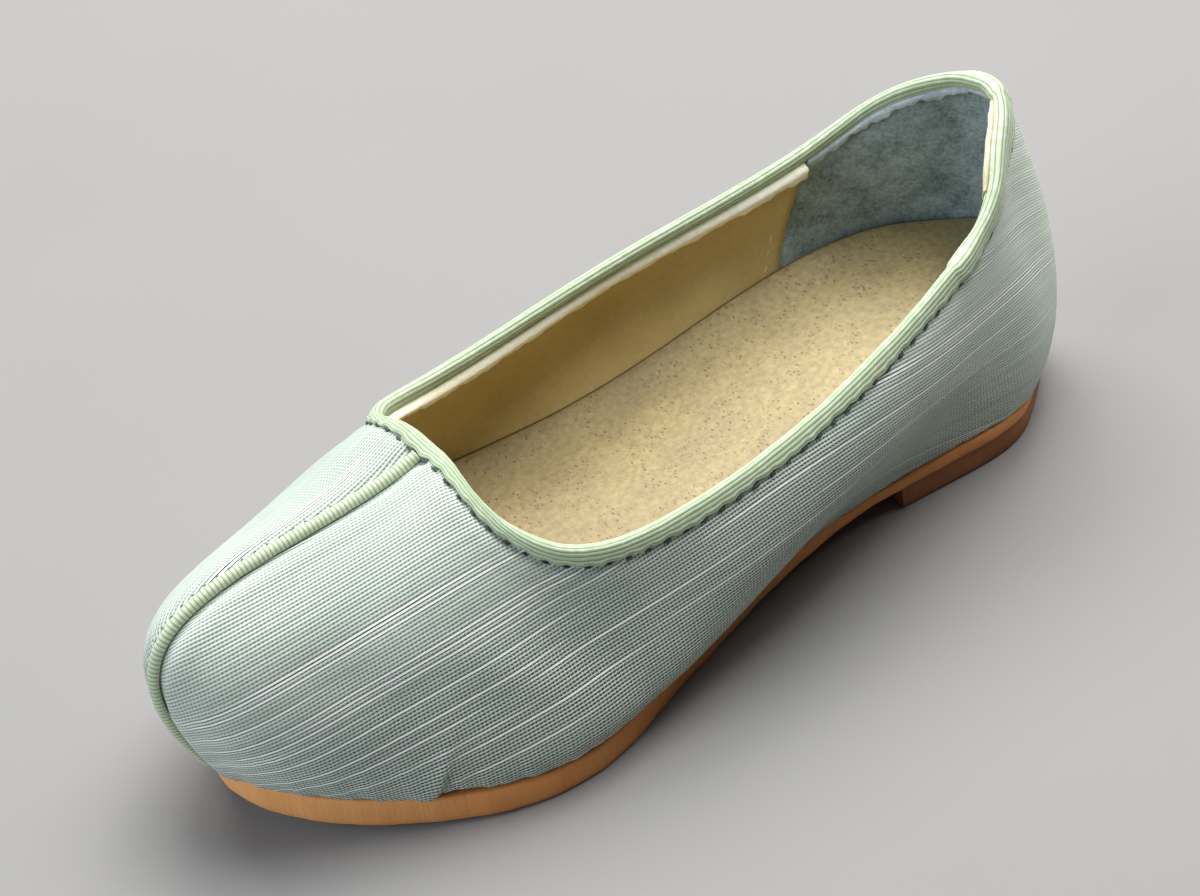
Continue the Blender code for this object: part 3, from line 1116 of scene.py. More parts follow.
@dataclass
class ClothUpper:
    """Slub cloth drawn over the last, with its piping seam, stitch dimples and toe pleat."""

    last: Last
    finish: SlubCloth
    half: int = 220
    rows: int = 66
    thick: float = 0.55
    top_depth: float = 0.9
    flat_rows: int = 22
    flat_cols: int = 72
    half_offset: float = 100.0
    level_row: float = 0.57
    level_cols: Place = (0.28, 0.65, 0.82)
    thread_slopes: Pairs = (
        (-70.0, 0.43), (0.0, 0.29), (58.0, 0.05), (90.0, -0.36),
        (116.0, -0.32), (128.0, -0.5), (140.0, -0.85))
    front_start: float = 0.7
    seam_place: float = 1.75
    seam_deep: float = 0.5
    seam_half: float = 0.7
    puff: float = 0.3
    toe_puff: float = 0.6
    toe_puff_top: float = 60.0
    toe_puff_run: float = 40.0
    puff_place: float = 4.2
    puff_half: float = 2.0
    stitch_pitch: float = 3.3
    bite: float = 0.22
    bite_swing: float = 0.14
    bite_place: float = 0.35
    bite_half: float = 0.7
    collar_puff: float = 0.18
    collar_puff_place: float = 2.9
    collar_puff_half: float = 1.8
    back_end: float = 0.1
    back_deep: float = 0.3
    back_half: float = 0.45
    edge_waves: Waves = ((0.10, 17.0, 0.4), (0.08, 7.3, 1.9), (0.05, 4.1, 0.2))
    gathers: Waves = ((0.10, 6.3, 0.5), (0.08, 3.7, 2.1), (0.05, 2.3, 1.0))
    gather_fade: float = 5.0
    pleat_x: float = 143.0
    pleat_rise: float = 1.2
    pleat_lean: float = 0.55
    pleat_step: float = 0.7
    pleat_run: float = 5.5
    pleat_high: float = 6.5
    tucks: Pairs = ((0.75, 0.4), (0.22, 0.28))
    tuck_back: float = 0.2
    folds: tuple[Fold, ...] = (
        Fold(Side.WEARERS_LEFT, 148.0, 22.0, 9.0, 5.0, -0.35, 25.0),
        Fold(Side.WEARERS_LEFT, 128.0, 20.0, 14.0, 4.0, 0.30, 40.0),
        Fold(Side.WEARERS_LEFT, 112.0, 14.0, 14.0, 4.5, -0.35, 55.0),
        Fold(Side.WEARERS_LEFT, 84.0, 16.0, 18.0, 5.0, -0.30, 8.0),
        Fold(Side.WEARERS_LEFT, 38.0, 20.0, 12.0, 6.0, 0.25, 70.0),
        Fold(Side.WEARERS_RIGHT, 146.0, 22.0, 9.0, 5.0, -0.35, 25.0),
        Fold(Side.WEARERS_RIGHT, 118.0, 16.0, 14.0, 4.5, -0.35, 50.0),
        Fold(Side.WEARERS_RIGHT, 78.0, 16.0, 18.0, 5.0, -0.30, -6.0),
        Fold(Side.WEARERS_RIGHT, 34.0, 20.0, 12.0, 6.0, 0.25, 70.0),
    )
    marks: tuple[FeatherMark, ...] = (
        FeatherMark(158.0, 7.0, 0.7),
        FeatherMark(145.0, 3.0, -1.9),
        FeatherMark(138.5, 2.2, 1.5),
        FeatherMark(121.0, 4.0, 0.35),
        FeatherMark(101.0, 5.0, -0.25),
    )

    def build(self) -> Object:
        """Draw the cloth, map its threads and settle it in place of the solid upper.

        Returns:
            The new piece.
        """
        last = self.last
        u, side = last.loop(2 * self.half)
        top = last.v_at_depth(u, side, self.top_depth)
        low = self.lower_edge(u, side)
        v = low + np.linspace(0.0, 1.0, self.rows)[:, None] * (top - low)
        point, up, out = last.face_frame(*np.broadcast_arrays(u, v, side))
        climb = travelled(point, 0)
        front = point + self.height(u, side, point, climb)[..., None] * out
        back = point - self.thick * out
        # The edge turns in under the last before it meets the sole.
        tucks = [front[0] - a * out[0] - b * up[0] for a, b in self.tucks]
        front = np.concatenate([tucks, front])
        turned = tucks[0] - self.tuck_back * out[0]
        back = np.concatenate([[turned, turned + self.tuck_back * up[0]], back])
        faces, cells = shell_grid(len(front), len(u), True)
        corners = self.thread_map(cells, len(tucks), v / top)
        piece = add_mesh("upper_cloth", self.finish, np.stack([front, back]), faces, corners)
        return settle(piece, Slot.CLOTH, "upper")

    def lower_edge(self, u: Array, side: Array) -> Array:
        """Height v of the cloth's lower edge at each station.

        Args:
            u: stations, 0 at the back seam and 1 at the centre front.
            side: side of each station, 1 or -1.

        Returns:
            One v for each station.
        """
        foot = self.last.face(u, np.zeros_like(u), side)
        slope = np.linalg.norm(self.last.face(u, np.full_like(u, 0.01), side) - foot, axis=-1) / 0.01
        place = travelled(foot, 0)
        lift = ripple(place, self.edge_waves)
        for mark in self.marks:
            lift = lift + (side > 0) * mark.lift * bell((foot[:, 0] - mark.x) / mark.width)
        return lift / slope

    def height(self, u: Array, side: Array, point: Array, climb: Array) -> Array:
        """Relief of the cloth over the last, in millimetres.

        Args:
            u: stations round the shoe.
            side: side of each station.
            point: points of the plain wall, row by row.
            climb: distance of each point up from the lower edge.

        Returns:
            Relief of each point.
        """
        middle = point[:, self.half:self.half + 1]
        away = np.linalg.norm(point - middle, axis=-1)
        low = smooth_step((self.toe_puff_top - climb) / self.toe_puff_run) * (side > 0)
        puff = self.puff + (self.toe_puff - self.puff) * low
        seam = (puff * bell((away - self.puff_place) / self.puff_half)
                - self.seam_deep * bell((away - self.seam_place) / self.seam_half))
        seam = np.where(away < self.seam_place, -self.seam_deep, seam)
        relief = np.where(u > self.front_start, seam, 0.0)
        along = travelled(point, 1)
        bite = self.bite + self.bite_swing * np.cos(2.0 * math.pi * along[-1] / self.stitch_pitch)
        below = self.top_depth + climb[-1] - climb - self.last.tape_depth(u)
        relief = relief - bite * bell((below - self.bite_place) / self.bite_half)
        relief = relief + self.collar_puff * bell((below - self.collar_puff_place) / self.collar_puff_half)
        behind = np.linalg.norm(point - point[:, :1], axis=-1)
        relief = relief - np.where(u < self.back_end, self.back_deep * bell(behind / self.back_half), 0.0)
        # Small gathers where the cloth is drawn under the sole, most of them at the toe.
        pull = ripple(along[0], self.gathers) * (0.4 + 0.8 * smooth_step((u - 0.6) / 0.2))
        relief = relief + pull * np.exp(-climb / self.gather_fade)
        relief = relief + self.pleat(side, point, climb)
        for fold in self.folds:
            angle = math.radians(fold.turn)
            dx, du = point[..., 0] - fold.x, climb - fold.up
            p = dx * math.cos(angle) + du * math.sin(angle)
            q = du * math.cos(angle) - dx * math.sin(angle)
            soft = bell(np.hypot(p / fold.run, q / fold.width))
            relief = relief + np.where(side == fold.side.value, fold.rise * soft, 0.0)
        return relief

    def pleat(self, side: Array, point: Array, climb: Array) -> Array:
        """Lasting pleat at the toe: a flap that laps backwards over the next stretch of edge.

        Args:
            side: side of each station, 1 or -1.
            point: points of the plain wall, row by row.
            climb: distance of each point up from the lower edge.

        Returns:
            Relief of each point.
        """
        ahead = point[..., 0] - self.pleat_x + self.pleat_lean * climb
        flap = smooth_step(ahead / self.pleat_step + 0.5) * np.exp(-np.maximum(ahead, 0.0) / self.pleat_run)
        return np.where(side > 0, self.pleat_rise * flap * bell(climb / self.pleat_high), 0.0)

    def thread_map(self, cells: Array, tucked: int, share: Array) -> Array:
        """Place of each face corner on the cloth, along and across its threads.

        Args:
            cells: row and column of each face corner.
            tucked: rows added below the lower edge.
            share: height of each row and station, as a share of the wall.

        Returns:
            Map place of each face corner, in millimetres.
        """
        count = 2 * self.half
        sides = share[:, :self.half + 1], np.roll(share[:, ::-1], 1, axis=1)[:, :self.half + 1]
        halves = [self.refined(self.flatten(which), part) for which, part in zip(Side, sides)]
        row = np.clip(cells[..., 0] - tucked, 0, self.rows - 1)
        col = cells[..., 1]
        second = (cells[..., 1].min(axis=1) >= self.half)[:, None]
        first_map = halves[0][row, np.clip(col, 0, self.half)]
        second_map = halves[1][row, np.clip(count - col, 0, self.half)]
        placed = np.where(second[..., None], second_map, first_map)
        placed[..., 1] += np.minimum(cells[..., 0] - tucked, 0)
        return placed

    def flatten(self, which: Side) -> Array:
        """Lay one half of the upper flat and bow it so that the threads run level.

        Args:
            which: side of the shoe.

        Returns:
            Place along and across the threads for each knot of a coarse grid of that half.
        """
        last = self.last
        rows, cols = self.flat_rows, self.flat_cols
        u = np.linspace(0.0, 1.0, cols)
        side = np.full_like(u, which.value)
        v = np.linspace(0.0, 1.0, rows)[:, None] * last.v_at_depth(u, side, self.top_depth)
        point = last.face(*np.broadcast_arrays(u, v, side))
        cells = grid_cells(rows - 1, cols - 1)
        mesh = bpy.data.meshes.new("flat")
        mesh.from_pydata((point.reshape(-1, 3) * MM).tolist(), [], (cells @ (cols, 1)).tolist())
        mesh.uv_layers.new(name=LAY)
        sheet = bpy.data.objects.new("flat", mesh)
        bpy.context.scene.collection.objects.link(sheet)
        for other in bpy.context.view_layer.objects:
            other.select_set(other is sheet)
        bpy.context.view_layer.objects.active = sheet
        bpy.ops.object.mode_set(mode="EDIT")
        bpy.ops.mesh.select_all(action="SELECT")
        bpy.ops.uv.unwrap(method="MINIMUM_STRETCH", iterations=60, margin=0.0)
        bpy.ops.object.mode_set(mode="OBJECT")
        corners = np.empty(2 * len(mesh.loops), np.float32)
        mesh.uv_layers[LAY].data.foreach_get("uv", corners)
        owners = np.empty(len(mesh.loops), np.int32)
        mesh.loops.foreach_get("vertex_index", owners)
        flat = np.zeros((len(mesh.vertices), 2))
        flat[owners] = corners.reshape(-1, 2)
        flat = flat.reshape(rows, cols, 2)
        bpy.data.objects.remove(sheet)
        bpy.data.meshes.remove(mesh)
        ratios = [np.linalg.norm(np.diff(flat, axis=k), axis=-1)
                  / np.linalg.norm(np.diff(point, axis=k), axis=-1) for k in (0, 1)]
        flat /= np.median(np.concatenate([ratio.ravel() for ratio in ratios]))
        # Threads run level between two knots of the side, and are measured from a third over the toe.
        mid = round(self.level_row * rows)
        back, front, start = (round(share * cols) for share in self.level_cols)
        level = flat[mid, back] - flat[mid, front]
        level /= np.linalg.norm(level)
        x = flat @ level
        y = flat @ np.array((-level[1], level[0]))
        if y[-1, front] < y[0, front]:
            y = -y
        behind = x - x[mid, start]
        places, slopes = np.array(self.thread_slopes).T
        steps = np.linspace(-120.0, 200.0, 641)
        climb = np.interp(steps, places, slopes)
        bow = np.concatenate([[0.0], np.cumsum(0.5 * (climb[1:] + climb[:-1]) * np.diff(steps))])
        bow = np.interp(behind, steps, bow - np.interp(0.0, steps, bow))
        across = y - bow - (y - bow).min() + self.half_offset * (1.0 - which.value)
        return np.stack([behind + 2.0 * self.half_offset, across], -1)

    def refined(self, flat: Array, share: Array) -> Array:
        """Read a coarse map at the height share of every row and station of the cloth.

        Args:
            flat: map place of each knot of the coarse grid.
            share: height of each point, as a share of the wall.

        Returns:
            Map place of each point.
        """
        rows, cols = flat.shape[:2]
        r, c = share * (rows - 1.0), np.linspace(0.0, cols - 1.0, self.half + 1)
        i = np.clip(np.floor(r).astype(int), 0, rows - 2)
        j = np.broadcast_to(np.clip(np.floor(c).astype(int), 0, cols - 2), i.shape)
        f, g = (r - i)[..., None], (c - j)[..., None]
        return ((1.0 - f) * ((1.0 - g) * flat[i, j] + g * flat[i, j + 1])
                + f * ((1.0 - g) * flat[i + 1, j] + g * flat[i + 1, j + 1]))


@dataclass
class Linings:
    """Pigskin quarter lining over a nubuck heel lining, their cut edges and a lip at the collar."""

    last: Last
    quarter: PigGrain
    heel: Nubuck
    trim: PigGrain
    heel_edge: Nubuck
    lip_finish: PigGrain
    rows: int = 26
    half: int = 120
    top_depth: float = 1.1
    foot: float = 0.03
    backing: float = 0.5
    quarter_proud: float = 0.3
    seam_top: float = 0.281
    seam_lean: float = 0.055
    overlap: float = 0.02
    trim_back: float = 0.004
    trim_top: float = 2.3
    trim_low: float = 5.0
    trim_proud: float = 2.1
    trim_taper: float = 0.85
    taper_start: float = 0.4
    taper_run: float = 0.42
    cut_waves: Waves = ((0.34, 11.0, 0.2), (0.26, 4.7, 1.4), (0.20, 2.3, 0.7))
    cut_profile: Pairs = ((0.0, 1.0), (0.5, 1.0), (0.8, 0.95), (0.95, 0.75), (1.0, 0.4))
    soft_waves: Waves = ((0.06, 31.0, 0.3), (0.036, 13.0, 1.1))
    soft_fade: float = 9.0
    heel_edge_low: float = 4.0
    heel_edge_proud: float = 0.8
    lip_ends: tuple[float, float] = (0.05, 0.21)
    lip_thick: float = 0.35
    lip_run: float = 0.03
    lip_waves: Waves = ((0.30, 5.3, 0.4), (0.20, 2.6, 1.1))
    lip_fold: Pairs = (
        (0.0, -1.75), (0.1, -2.0), (0.4, -2.25), (0.9, -2.4), (1.5, -2.45), (2.1, -2.4))

    def strip(self, seam: float, through_toe: bool) -> tuple[Array, Array, Array]:
        """Stations of a lining from its seam on one side to its seam on the other.

        Args:
            seam: station of the seam at the collar.
            through_toe: pass the toe, or else the back.

        Returns:
            u, v and side of each row and column.
        """
        share = np.linspace(0.0, 1.0, self.half)
        share = np.concatenate([share, share[-2::-1]])
        first = Side.WEARERS_LEFT.value if through_toe else Side.WEARERS_RIGHT.value
        side = np.where(np.arange(2 * self.half - 1) < self.half, first, -first)
        height = np.linspace(0.0, 1.0, self.rows)[:, None]
        start = seam + self.seam_lean * (1.0 - height)
        u = start + ((1.0 if through_toe else 0.0) - start) * share
        top = self.last.v_at_depth(u[-1], side, self.top_depth)
        return (*np.broadcast_arrays(u, (self.foot + (1.0 - self.foot) * height) * top, side),)

    def sheet(self, name: str, finish: Finish, stations: tuple[Array, Array, Array],
              proud: float) -> Object:
        """Thin leather sheet that follows the inside of the wall.

        Args:
            name: name of the piece.
            finish: its leather.
            stations: u, v and side of each row and column.
            proud: how far the seen face stands inside the wall.

        Returns:
            The new piece.
        """
        point, _, out = self.last.face_frame(*stations)
        climb = travelled(point, 0)
        wall = self.last.wall_at(self.top_depth + climb[-1] - climb)
        along = travelled(point, 1)
        soft = ripple(along + 0.4 * climb, self.soft_waves) * np.exp(-wall / self.soft_fade)
        front = point - (wall + proud + soft)[..., None] * out
        hidden = point - (wall - self.backing)[..., None] * out
        faces, _ = shell_grid(*front.shape[:2], False)
        return add_mesh(name, finish, np.stack([front, hidden]), faces)

    def build(self) -> list[Object]:
        """Make the two linings, their cut edges and the lip.

        Returns:
            The new pieces.
        """
        at = self.seam_top
        pieces = (
            self.sheet("quarter_lining", self.quarter, self.strip(at, True), self.quarter_proud),
            self.sheet("heel_lining", self.heel, self.strip(at + self.overlap, False), 0.0),
            self.cut_edge("lining_trim_edge", self.trim, at + self.trim_back, 1.0,
                          self.trim_low, self.trim_proud),
            self.cut_edge("heel_lining_edge", self.heel_edge, at, 0.0,
                          self.heel_edge_low, self.heel_edge_proud),
            self.lip())
        return [settle(piece, Slot.SOCK) for piece in pieces]

    def lip(self) -> Object:
        """Strip of lining that was left standing over the binding behind the wearer's left ankle.

        Returns:
            The new piece.
        """
        u = np.linspace(*self.lip_ends, 80)
        side = np.ones_like(u)
        reach = smooth_step((u - u[0]) / self.lip_run) * smooth_step((u[-1] - u) / self.lip_run)
        place = travelled(self.last.at_depth(u, side, 0.0, 0.0), 0)
        wander = ripple(place, self.lip_waves)
        front, hidden = [], []
        for share, (depth, distance) in zip(np.linspace(0.0, 1.0, len(self.lip_fold)), self.lip_fold):
            thick = self.lip_thick * reach
            low = depth - thick * (1.0 - share) + wander * share * reach
            front.append(self.last.at_depth(u, side, low, distance - thick))
            hidden.append(self.last.at_depth(u, side, depth + 0.2, distance + 0.2))
        faces, _ = shell_grid(len(front), len(u), False)
        return add_mesh("lining_lip", self.lip_finish, np.array([front, hidden]), faces)

    def cut_edge(self, name: str, finish: Finish, seam: float, middle: float,
                 low: float, proud: float) -> Object:
        """Raw edge of a lining, cut by hand just below the binding.

        Args:
            name: name of the piece.
            finish: its leather.
            seam: station where it starts on one side and ends on the other.
            middle: station it passes half-way.
            low: depth of its lower edge.
            proud: how far it stands inside the wall.

        Returns:
            The new piece.
        """
        share = np.linspace(seam, middle, 2 * self.half)
        u = np.concatenate([share, share[-2::-1]])
        side = np.where(np.arange(len(u)) < 2 * self.half, 1.0, -1.0)
        place = travelled(self.last.at_depth(u, side, 3.0, 0.0), 0)
        wander = ripple(place, self.cut_waves)
        narrow = 1.0 - self.trim_taper * smooth_step((u - self.taper_start) / self.taper_run)
        front, hidden = [], []
        for share_down, full in self.cut_profile:
            depth = self.trim_top + share_down * (low + wander - self.trim_top) * narrow
            wall = self.last.wall_at(depth)
            front.append(self.last.at_depth(u, side, depth, -wall - full * proud))
            hidden.append(self.last.at_depth(u, side, depth, -wall + 0.1))
        faces, _ = shell_grid(len(front), len(u), False)
        return add_mesh(name, finish, np.array([front, hidden]), faces)


@dataclass(frozen=True)
class Dip:
    """Hollow that a foot leaves in the sock: depth, middle and half sizes."""

    deep: float
    x: float
    y: float
    long: float
    wide: float


@dataclass
class InsoleSock:
    """Pigskin sock glued to the floor of the shoe, its face plain."""

    last: Last
    finish: SockGrain
    rungs: int = 150
    across: int = 30
    dips: tuple[Dip, ...] = (Dip(0.5, 30.0, 0.0, 16.0, 11.0), Dip(0.35, 108.0, -2.0, 18.0, 15.0))
    edge_round: float = 0.9
    edge_half: float = 0.7
    # Ends of the curl and of the sag along the shoe: where each starts, and the way it grows from there.
    curl: float = 2.0
    curl_ends: Pairs = ((6.0, 30.0), (142.0, -20.0))
    sag: float = 2.6
    sag_ends: Pairs = ((1.0, 5.0), (34.0, -22.0))
    curl_reach: float = 5.0

    def build(self) -> Object:
        """Lay the footbed between the walls.

        Returns:
            The new piece.
        """
        last = self.last
        u = 0.5 - 0.5 * np.cos(np.linspace(0.0, math.pi, self.rungs))
        layers = []
        for full in (True, False):
            edges = []
            for which in Side:
                side = np.full_like(u, which.value)
                x = last.outline(u, side, 0.0)[:, 0]
                rise = last.footbed(x) - last.seat(x) + self.curled(x, which)
                edge = last.inner_at_height(u, side, last.wall + 0.1, rise if full else last.fit_gap)
                edge[:, 2] = last.footbed(edge[:, 0]) if full else edge[:, 2]
                edges.append(edge)
            share = 0.5 - 0.5 * np.cos(np.linspace(0.0, math.pi, self.across))[:, None, None]
            layers.append(edges[0] + (edges[1] - edges[0]) * share)
        top = layers[0]
        border = np.minimum(np.linalg.norm(top - top[:1], axis=-1), np.linalg.norm(top - top[-1:], axis=-1))
        x, y = top[..., 0], top[..., 1]
        dip = sum(d.deep * bell(np.hypot((x - d.x) / d.long, (y - d.y) / d.wide)) for d in self.dips)
        top[..., 2] -= dip + self.edge_round * bell(border / self.edge_half)
        for which, row in zip(Side, (top[:1].copy(), top[-1:].copy())):
            away = np.linalg.norm(top - row, axis=-1)
            top[..., 2] += self.curled(x, which) * bell(away / self.curl_reach)
        faces, cells = shell_grid(self.across, self.rungs, False)
        row, col = cells[..., 0], cells[..., 1]
        corners = np.stack([x[row, col], border[row, col]], -1)
        piece = add_mesh("insole_sock", self.finish, np.stack(layers), faces, corners)
        return settle(piece, Slot.SOCK, "insole")

    def curled(self, x: Array, which: Side) -> Array:
        """Height by which the sock's edge climbs the right wall, or sinks at the heel on the left.

        Args:
            x: places along the shoe.
            which: side of the shoe.

        Returns:
            Height at each place.
        """
        left = which is Side.WEARERS_LEFT
        (low, rise), (high, fall) = self.sag_ends if left else self.curl_ends
        share = smooth_step((x - low) / rise) * smooth_step((x - high) / fall)
        return (-self.sag if left else self.curl) * share


@dataclass
class LeatherSole:
    """Cut leather outsole and the low heel block under it."""

    last: Last
    outsole: CutLeather
    heel: CutLeather
    stations: int = 420
    heel_stations: int = 110
    heel_inset: float = 0.4
    sharp_angle: float = 50.0
    outline_waves: Waves = ((0.07, 23.0, 0.2), (0.05, 9.1, 1.3), (0.03, 3.9, 2.2))
    heel_profile: Pairs = (
        (1.6, 0.0), (0.7, 0.0), (0.35, 0.1), (0.12, 0.35), (0.04, 0.7), (0.0, 1.4),
        (0.0, -0.5), (0.15, -0.05))
    profile: Pairs = (
        (-2.4, 0.0), (-0.8, 0.005), (-0.35, 0.04), (-0.08, 0.12), (0.0, 0.27),
        (0.06, 0.55), (0.0, 0.84), (-0.15, 0.95), (-0.5, 0.995), (-1.4, 1.0))

    def build(self) -> list[Object]:
        """Make both pieces."""
        return [self.build_outsole(), self.build_heel()]

    def build_outsole(self) -> Object:
        """Thin sole with softened edges and a knife-cut outline.

        Returns:
            The new piece.
        """
        last = self.last
        u, side = last.loop(self.stations)
        lip = last.section(u)["sole_out"]
        place = travelled(last.outline(u, side, lip), 0)
        uneven = ripple(place, self.outline_waves)
        rings = []
        for out, height in self.profile:
            ring = last.outline(u, side, lip + out + uneven)
            ring[:, 2] = last.underside(ring[:, 0]) + height * last.thick_at(ring[:, 0])
            rings.append(ring)
        piece = add_mesh("outsole_leather", self.outsole, np.array(rings), stacked_faces(len(rings), len(u)))
        return settle(piece, Slot.SOLE, "outsole")

    def build_heel(self) -> Object:
        """Low block, cut off upright at the breast.

        Returns:
            The new piece.
        """
        last = self.last
        fine = np.linspace(0.0, 0.6, 601)
        edge = last.outline(fine, np.ones_like(fine), last.section(fine)["sole_out"] - self.heel_inset)
        breast = np.interp(last.heel_breast, edge[:, 0], fine)
        half = np.linspace(0.0, breast, self.heel_stations)
        u = np.concatenate([half, half[:0:-1]])
        side = np.concatenate([np.ones(len(half)), -np.ones(len(half) - 1)])
        lip = last.section(u)["sole_out"] - self.heel_inset
        rings = []
        for inset, height in self.heel_profile:
            ring = last.outline(u, side, lip - inset)
            ring[:, 0] = np.minimum(ring[:, 0], last.heel_breast - inset)
            # A height below zero is measured from the top of the block.
            ring[:, 2] = height if height >= 0.0 else last.heel_height + height
            rings.append(ring)
        piece = add_mesh("heel_block", self.heel, np.array(rings), stacked_faces(len(rings), len(u)))
        piece.data.set_sharp_from_angle(angle=math.radians(self.sharp_angle))
        return settle(piece, Slot.HEEL, "heel")


@dataclass
class CollarBinding:
    """Ribbed tape folded over the collar edge and lapped at the back."""

    last: Last
    finish: RibbedTape
    stations: int = 460
    outline_points: int = 84
    rib_rise: float = 0.10
    rib_run: float = 0.6
    leg_top: float = 1.5
    leg_run: float = 1.9
    crown_half: float = 0.3
    crown_share: float = 0.6
    stitch_pitch: float = 3.3
    scallop: float = 0.16
    lap_start: float = -7.0
    lap_end: float = 4.5
    lap_rise: float = 0.35
    lap_run: float = 5.0
    lap_ease: float = 1.2
    side_lap: float = 0.30
    side_lap_long: float = 9.0
    side_lap_rise: float = 0.6
    side_lap_run: float = 6.0
    side_lap_ease: float = 0.35
    wander: Waves = ((0.10, 19.0, 0.3), (0.07, 8.3, 1.2), (0.04, 3.3, 0.4))
    pucker: float = 0.28
    pucker_pitch: float = 2.9
    corner: float = 0.80
    corner_half: float = 0.035
    back_swell: float = 0.5
    swell_place: float = 0.13
    swell_half: float = 0.09
    inside: Pairs = ((2.3, -1.1), (0.6, -1.1), (0.6, 0.0))
    fold: Pairs = (
        (3.45, 0.0), (3.45, 0.36), (3.1, 0.6), (2.0, 0.66), (0.95, 0.6), (0.3, 0.3), (0.0, -0.2),
        (0.02, -0.7), (0.25, -1.24), (0.8, -1.58), (1.5, -1.64), (2.0, -1.6), (2.3, -1.45), (2.3, -1.2))

    def profile(self) -> tuple[Array, Array]:
        """Outline of the folded tape with its ribs, and the distance round it.

        Returns:
            Depth and distance of each point, and how far round the outline it lies.
        """
        knots = np.array(self.fold)
        curve = self.last.spline(knots, np.linspace(0.0, len(knots) - 1.0, 400))
        run = travelled(curve, 0)
        even = np.linspace(0.0, run[-1], self.outline_points)
        curve = np.stack([np.interp(even, run, curve[:, k]) for k in range(2)], -1)
        way = np.gradient(curve, axis=0)
        way /= np.linalg.norm(way, axis=-1, keepdims=True)
        out = np.stack([way[:, 1], -way[:, 0]], -1)
        ribs = self.rib_rise * (np.abs(np.sin(math.pi * even / self.finish.rib_pitch)) - 0.65)
        hold = smooth_step(even / self.rib_run) * smooth_step((even[-1] - even) / self.rib_run)
        return curve + (ribs * hold)[:, None] * out, even

    def build(self) -> Object:
        """Fold the tape round the collar.

        Returns:
            The new piece.
        """
        last = self.last
        u, side = last.loop(self.stations)
        rim = last.at_depth(u, side, 0.0, 0.0)
        place = travelled(np.concatenate([rim, rim[:1]]), 0)
        total, s = place[-1], place[:-1]
        signed = np.where(s > 0.5 * total, s - total, s)
        lap = self.lap_rise * smooth_step((signed - self.lap_start) / self.lap_run)
        lap = lap * smooth_step((self.lap_end - signed) / self.lap_ease)
        # A second strip ends on the wearer's left, on top of the next one.
        end = np.interp(self.side_lap, u[:self.stations // 2], s[:self.stations // 2])
        rise = self.side_lap_rise * smooth_step((signed - end + self.side_lap_long) / self.side_lap_run)
        lap = lap + rise * smooth_step((end - signed) / self.side_lap_ease)
        wander = ripple(s, self.wander)
        corner = bell((u - self.corner) / self.corner_half) * (side < 0)
        pucker = self.pucker * corner * np.sin(2.0 * math.pi * s / self.pucker_pitch)
        edge = self.scallop * np.cos(2.0 * math.pi * s / self.stitch_pitch)
        outline, run = self.profile()
        narrow = last.tape_depth(u) / outline[:, 0].max() - 1.0
        swell = 1.0 + self.back_swell * bell((u - self.swell_place) / self.swell_half) * (side > 0)
        rings = []
        for (depth, distance), q in zip(outline, run):
            outer = q < 0.5 * run[-1]
            low = smooth_step((depth - self.leg_top) / self.leg_run) * outer
            sign = 1.0 if distance > -self.crown_half else -1.0
            lift = (lap + pucker) * sign * (self.crown_share if abs(distance) < self.crown_half else 1.0)
            deep = depth * (1.0 + outer * narrow)
            distance = np.where(distance < 0.0, distance * swell, distance)
            deep = deep + low * (edge + wander) - 0.3 * wander * (1.0 - low)
            rings.append(last.at_depth(u, side, deep, distance + lift))
        rings = np.array(rings + [last.at_depth(u, side, *pair) for pair in self.inside])
        count, cols = len(rings), len(u)
        cells = grid_cells(count, cols)
        faces = cells[..., 0] % count * cols + cells[..., 1] % cols
        across = np.concatenate([run, run[-1] + np.arange(1, count - len(run) + 2)])
        corners = np.stack([place[cells[..., 1]], across[cells[..., 0]]], -1)
        piece = add_mesh("collar_binding_tape", self.finish, rings, faces, corners)
        return settle(piece, Slot.BINDING, "collar_binding")


